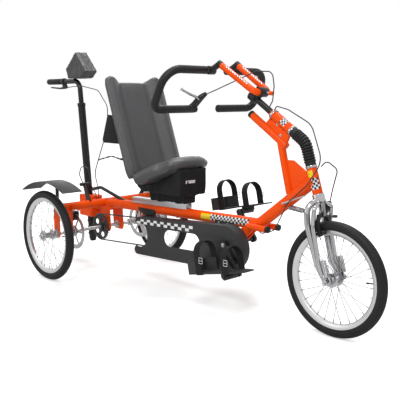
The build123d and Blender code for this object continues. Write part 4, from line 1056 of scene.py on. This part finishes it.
# Seat back: a moulded foam pad under black vinyl, sewn from a middle panel and two forward wings.
# The pad is cut a little small, filled until the vinyl is tight, and then pulled in along its seams.
seat_recline = radians(20.5)
back_corner = station(478, 0, 590)
back_up = Vector((-sin(seat_recline), 0, cos(seat_recline)))
back_forward = Vector((cos(seat_recline), 0, sin(seat_recline)))
back_foot = back_corner - back_forward * 0.074
vinyl, vinyl_nodes, vinyl_links, vinyl_surface = new_material("black_vinyl")
vinyl_surface.inputs["Specular IOR Level"].default_value = 0.5
vinyl_surface.inputs["Coat Weight"].default_value = 0.10
vinyl_surface.inputs["Coat Roughness"].default_value = 0.25
add_marks(vinyl_nodes, vinyl_links, vinyl_surface, (0.044, 0.044, 0.047), (0.060, 0.060, 0.064), 0.32, 0.45)
vinyl_place = vinyl_nodes.new("ShaderNodeTexCoord")
vinyl_cells = add_node(vinyl_nodes, "ShaderNodeTexVoronoi", feature="DISTANCE_TO_EDGE")
vinyl_cells.inputs["Scale"].default_value = 520
vinyl_edges = add_node(vinyl_nodes, "ShaderNodeMapRange", {"From Max": 0.12})
vinyl_bump = add_node(vinyl_nodes, "ShaderNodeBump", {"Strength": 0.35, "Distance": 0.0006})
join_nodes(
    vinyl_links,
    (vinyl_place, "Object", vinyl_cells, "Vector"),
    (vinyl_cells, "Distance", vinyl_edges, "Value"),
    (vinyl_edges, "Result", vinyl_bump, "Height"),
    (vinyl_bump, "Normal", vinyl_surface, "Normal"),
)
fill_frames = 20


def fill_pad(piece, pressure, cap):
    """Swells a pad as its foam does under its cover, each point by no more than a cap."""
    cut_places = [vert.co.copy() for vert in piece.data.vertices]
    filling = piece.modifiers.new("filling", "CLOTH")
    filling.settings.quality = 5
    filling.settings.use_pressure = True
    filling.settings.uniform_pressure_force = pressure
    filling.settings.effector_weights.gravity = 0
    filling.point_cache.frame_start = 1
    filling.point_cache.frame_end = fill_frames
    scene = bpy.context.scene
    for number in range(1, fill_frames + 1):
        scene.frame_set(number)
    graph = bpy.context.evaluated_depsgraph_get()
    filled = bpy.data.meshes.new_from_object(piece.evaluated_get(graph))
    piece.modifiers.clear()
    for vert, cut_place in zip(filled.vertices, cut_places):
        moved = vert.co - cut_place
        if moved.length > cap:
            vert.co = cut_place + moved * (cap / moved.length)
    piece.data = filled
    scene.frame_set(1)


def smooth_pad(piece):
    """Gives a pad one step of subdivision."""
    smooth = piece.modifiers.new("smooth", "SUBSURF")
    smooth.levels = 1
    smooth.render_levels = 1


def ease(share):
    """Goes from 0 to 1 with a soft start and end."""
    share = min(1.0, max(0.0, share))
    return share * share * (3 - 2 * share)


def pad_form(cuts):
    """A closed block with an even grid on each face, which a pad is shaped from."""
    form = bmesh.new()
    bmesh.ops.create_cube(form, size=2)
    bmesh.ops.subdivide_edges(form, edges=form.edges[:], cuts=cuts, use_grid_fill=True)
    return form


def back_place(across, up, forward):
    """A place on the seat back, in metres across, up along it and forward out of it."""
    return back_foot + Vector((0, across, 0)) + back_up * up + back_forward * forward


back_form = pad_form(31)
for vert in back_form.verts:
    side, rise, depth = vert.co
    off_middle = abs(side) * 0.194
    wing = ease((off_middle - 0.080) / 0.088)
    rim = ease((off_middle - 0.166) / 0.030)
    front_face = 0.040 + 0.032 * wing - 0.008 * rim
    rear_face = 0.002 + 0.036 * ease((off_middle - 0.090) / 0.104)
    forward = rear_face + (front_face - rear_face) * (depth + 1) / 2
    bulge = 1 - depth * depth
    across = side * (0.192 + 0.007 * bulge * ease((abs(side) - 0.80) / 0.2))
    up = 0.281 + rise * 0.275
    if rise > 0:
        up += ease((rise - 0.85) / 0.15) * (0.012 * bulge - 0.020 * (1 - wing) - 0.016 * rim)
    else:
        up -= ease((-rise - 0.85) / 0.15) * 0.008 * bulge
    across *= 1 - 0.035 * ease((abs(rise) - 0.86) / 0.14)
    vert.co = back_place(across, up, forward)
seat_back = place_piece("seat_back_pad", back_form, "seat", [vinyl], smooth_angle=180)
fill_pad(seat_back, 4, 0.007)
for vert in seat_back.data.vertices:
    spot = vert.co - back_foot
    if spot.dot(back_forward) > 0.02:
        pull = 0.0
        for seam in (-0.086, 0.086):
            for groove_depth, groove_width in ((0.0038, 0.005), (0.0030, 0.020)):
                pull += groove_depth * 2.718 ** (-(((spot.y - seam) / groove_width) ** 2))
        vert.co -= back_forward * pull
smooth_pad(seat_back)
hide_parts("seat_back")

# Seat cushion: a thick foam wedge with a rolled front and sides under the same vinyl.
# It is cut to the plan of its solid, narrow at the nose, and filled until the vinyl is tight.
cushion_tilt = radians(22)
cushion_run = Vector((cos(cushion_tilt), 0, sin(cushion_tilt)))
cushion_up = Vector((-sin(cushion_tilt), 0, cos(cushion_tilt)))
cushion_foot = back_corner - cushion_up * 0.046 + cushion_run * 0.006
cushion_form = pad_form(27)
for vert in cushion_form.verts:
    ahead, side, height = vert.co
    share = (ahead + 1) / 2
    bulge = 1 - height * height
    half_width = 0.190 - 0.062 * ease((share - 0.30) / 0.80)
    across = side * (half_width + 0.008 * bulge * ease((abs(side) - 0.8) / 0.2))
    along = 0.006 + share * 0.274
    along += 0.012 * bulge * ease((ahead - 0.8) / 0.2)
    along -= 0.046 * abs(side) ** 3 * ease((share - 0.45) / 0.55)
    crown = 0.006 * (1 - side * side) * (1 - abs(ahead) ** 3)
    thin = 0.031 + height * (0.027 - 0.006 * ease((ahead - 0.7) / 0.3)) + crown * (height + 1) / 2
    vert.co = cushion_foot + cushion_run * along + cushion_up * thin + Vector((0, across, 0))
cushion = place_piece("seat_cushion_pad", cushion_form, "seat", [vinyl], smooth_angle=180)
fill_pad(cushion, 4, 0.009)
smooth_pad(cushion)
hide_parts("seat_cushion")

# Fabric: the seat's base cover, the pouch on the handle bar and the foot straps are black woven cloth.
# The covers are sewn over stiff boards and sag a little between them, and the straps are flat webbing.
black_fabric = make_finish(
    "black_fabric", (0.010, 0.010, 0.011), (0.020, 0.020, 0.021), 0.7, grains=1500, depth=0.6, specular=0.2
)


def drape_cover(node, body, material, cell, fold, folds_per_metre):
    """A node's solid as soft cloth: an even mesh with rounded edges and shallow folds."""
    form = bmesh.new()
    form.from_mesh(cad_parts[node].data)
    bmesh.ops.remove_doubles(form, verts=form.verts, dist=merge_distance)
    piece = place_piece(f"{node}_cover", form, body, [material], smooth_angle=180)
    even = piece.modifiers.new("even_mesh", "REMESH")
    even.mode = "VOXEL"
    even.voxel_size = cell
    even.use_smooth_shade = True
    soften = piece.modifiers.new("soften", "SMOOTH")
    soften.factor = 0.5
    soften.iterations = 3
    graph = bpy.context.evaluated_depsgraph_get()
    mesh = bpy.data.meshes.new_from_object(piece.evaluated_get(graph))
    piece.modifiers.clear()
    for vert in mesh.vertices:
        spot = Vector((vert.co.x * 1.6, vert.co.y * 1.6, vert.co.z * 0.6)) * folds_per_metre
        height = noise.noise(spot) + 0.5 * noise.noise(spot * 2.1)
        vert.co += vert.normal * fold * height
    piece.data = mesh
    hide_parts(node)


drape_cover("seat_base", "seat", black_fabric, 0.0055, 0.006, 16)
pouch_nylon = make_finish(
    "pouch_nylon", (0.034, 0.034, 0.035), (0.055, 0.055, 0.056), 0.42, grains=1500, depth=0.12, specular=0.5
)
drape_cover("pouch", "frame", pouch_nylon, 0.005, 0.003, 26)

# Flap: a stiff black cloth gusset behind the seat back on the rider's right.
# It is sewn to the back along its front edge.
flap_corners = ((236, 908), (184, 772), (194, 756), (352, 756), (304, 904))
flap_form = bmesh.new()
flap_face = flap_form.faces.new([flap_form.verts.new(station(x, -146, z)) for x, z in flap_corners])
flap_side = bmesh.ops.extrude_face_region(flap_form, geom=[flap_face])["geom"]
for flap_item in flap_side:
    if isinstance(flap_item, bmesh.types.BMVert):
        flap_item.co.y -= 0.012
bmesh.ops.recalc_face_normals(flap_form, faces=flap_form.faces)
round_edges(flap_form, flap_form.edges[:], 0.004, segments=3)
add_piece("back_flap", flap_form, "seat", black_fabric, smooth_angle=60)
break_edges("foot_straps_right", "pedal_right", black_fabric, width=0.0005)
break_edges("foot_straps_left", "pedal_left", black_fabric, width=0.0005)
flat_film(
    "seat_label",
    "seat",
    ((745.5, -54, 573), (745.5, 10, 573), (747.5, 10, 588), (747.5, -54, 588)),
    (1, 1),
    label_film,
)
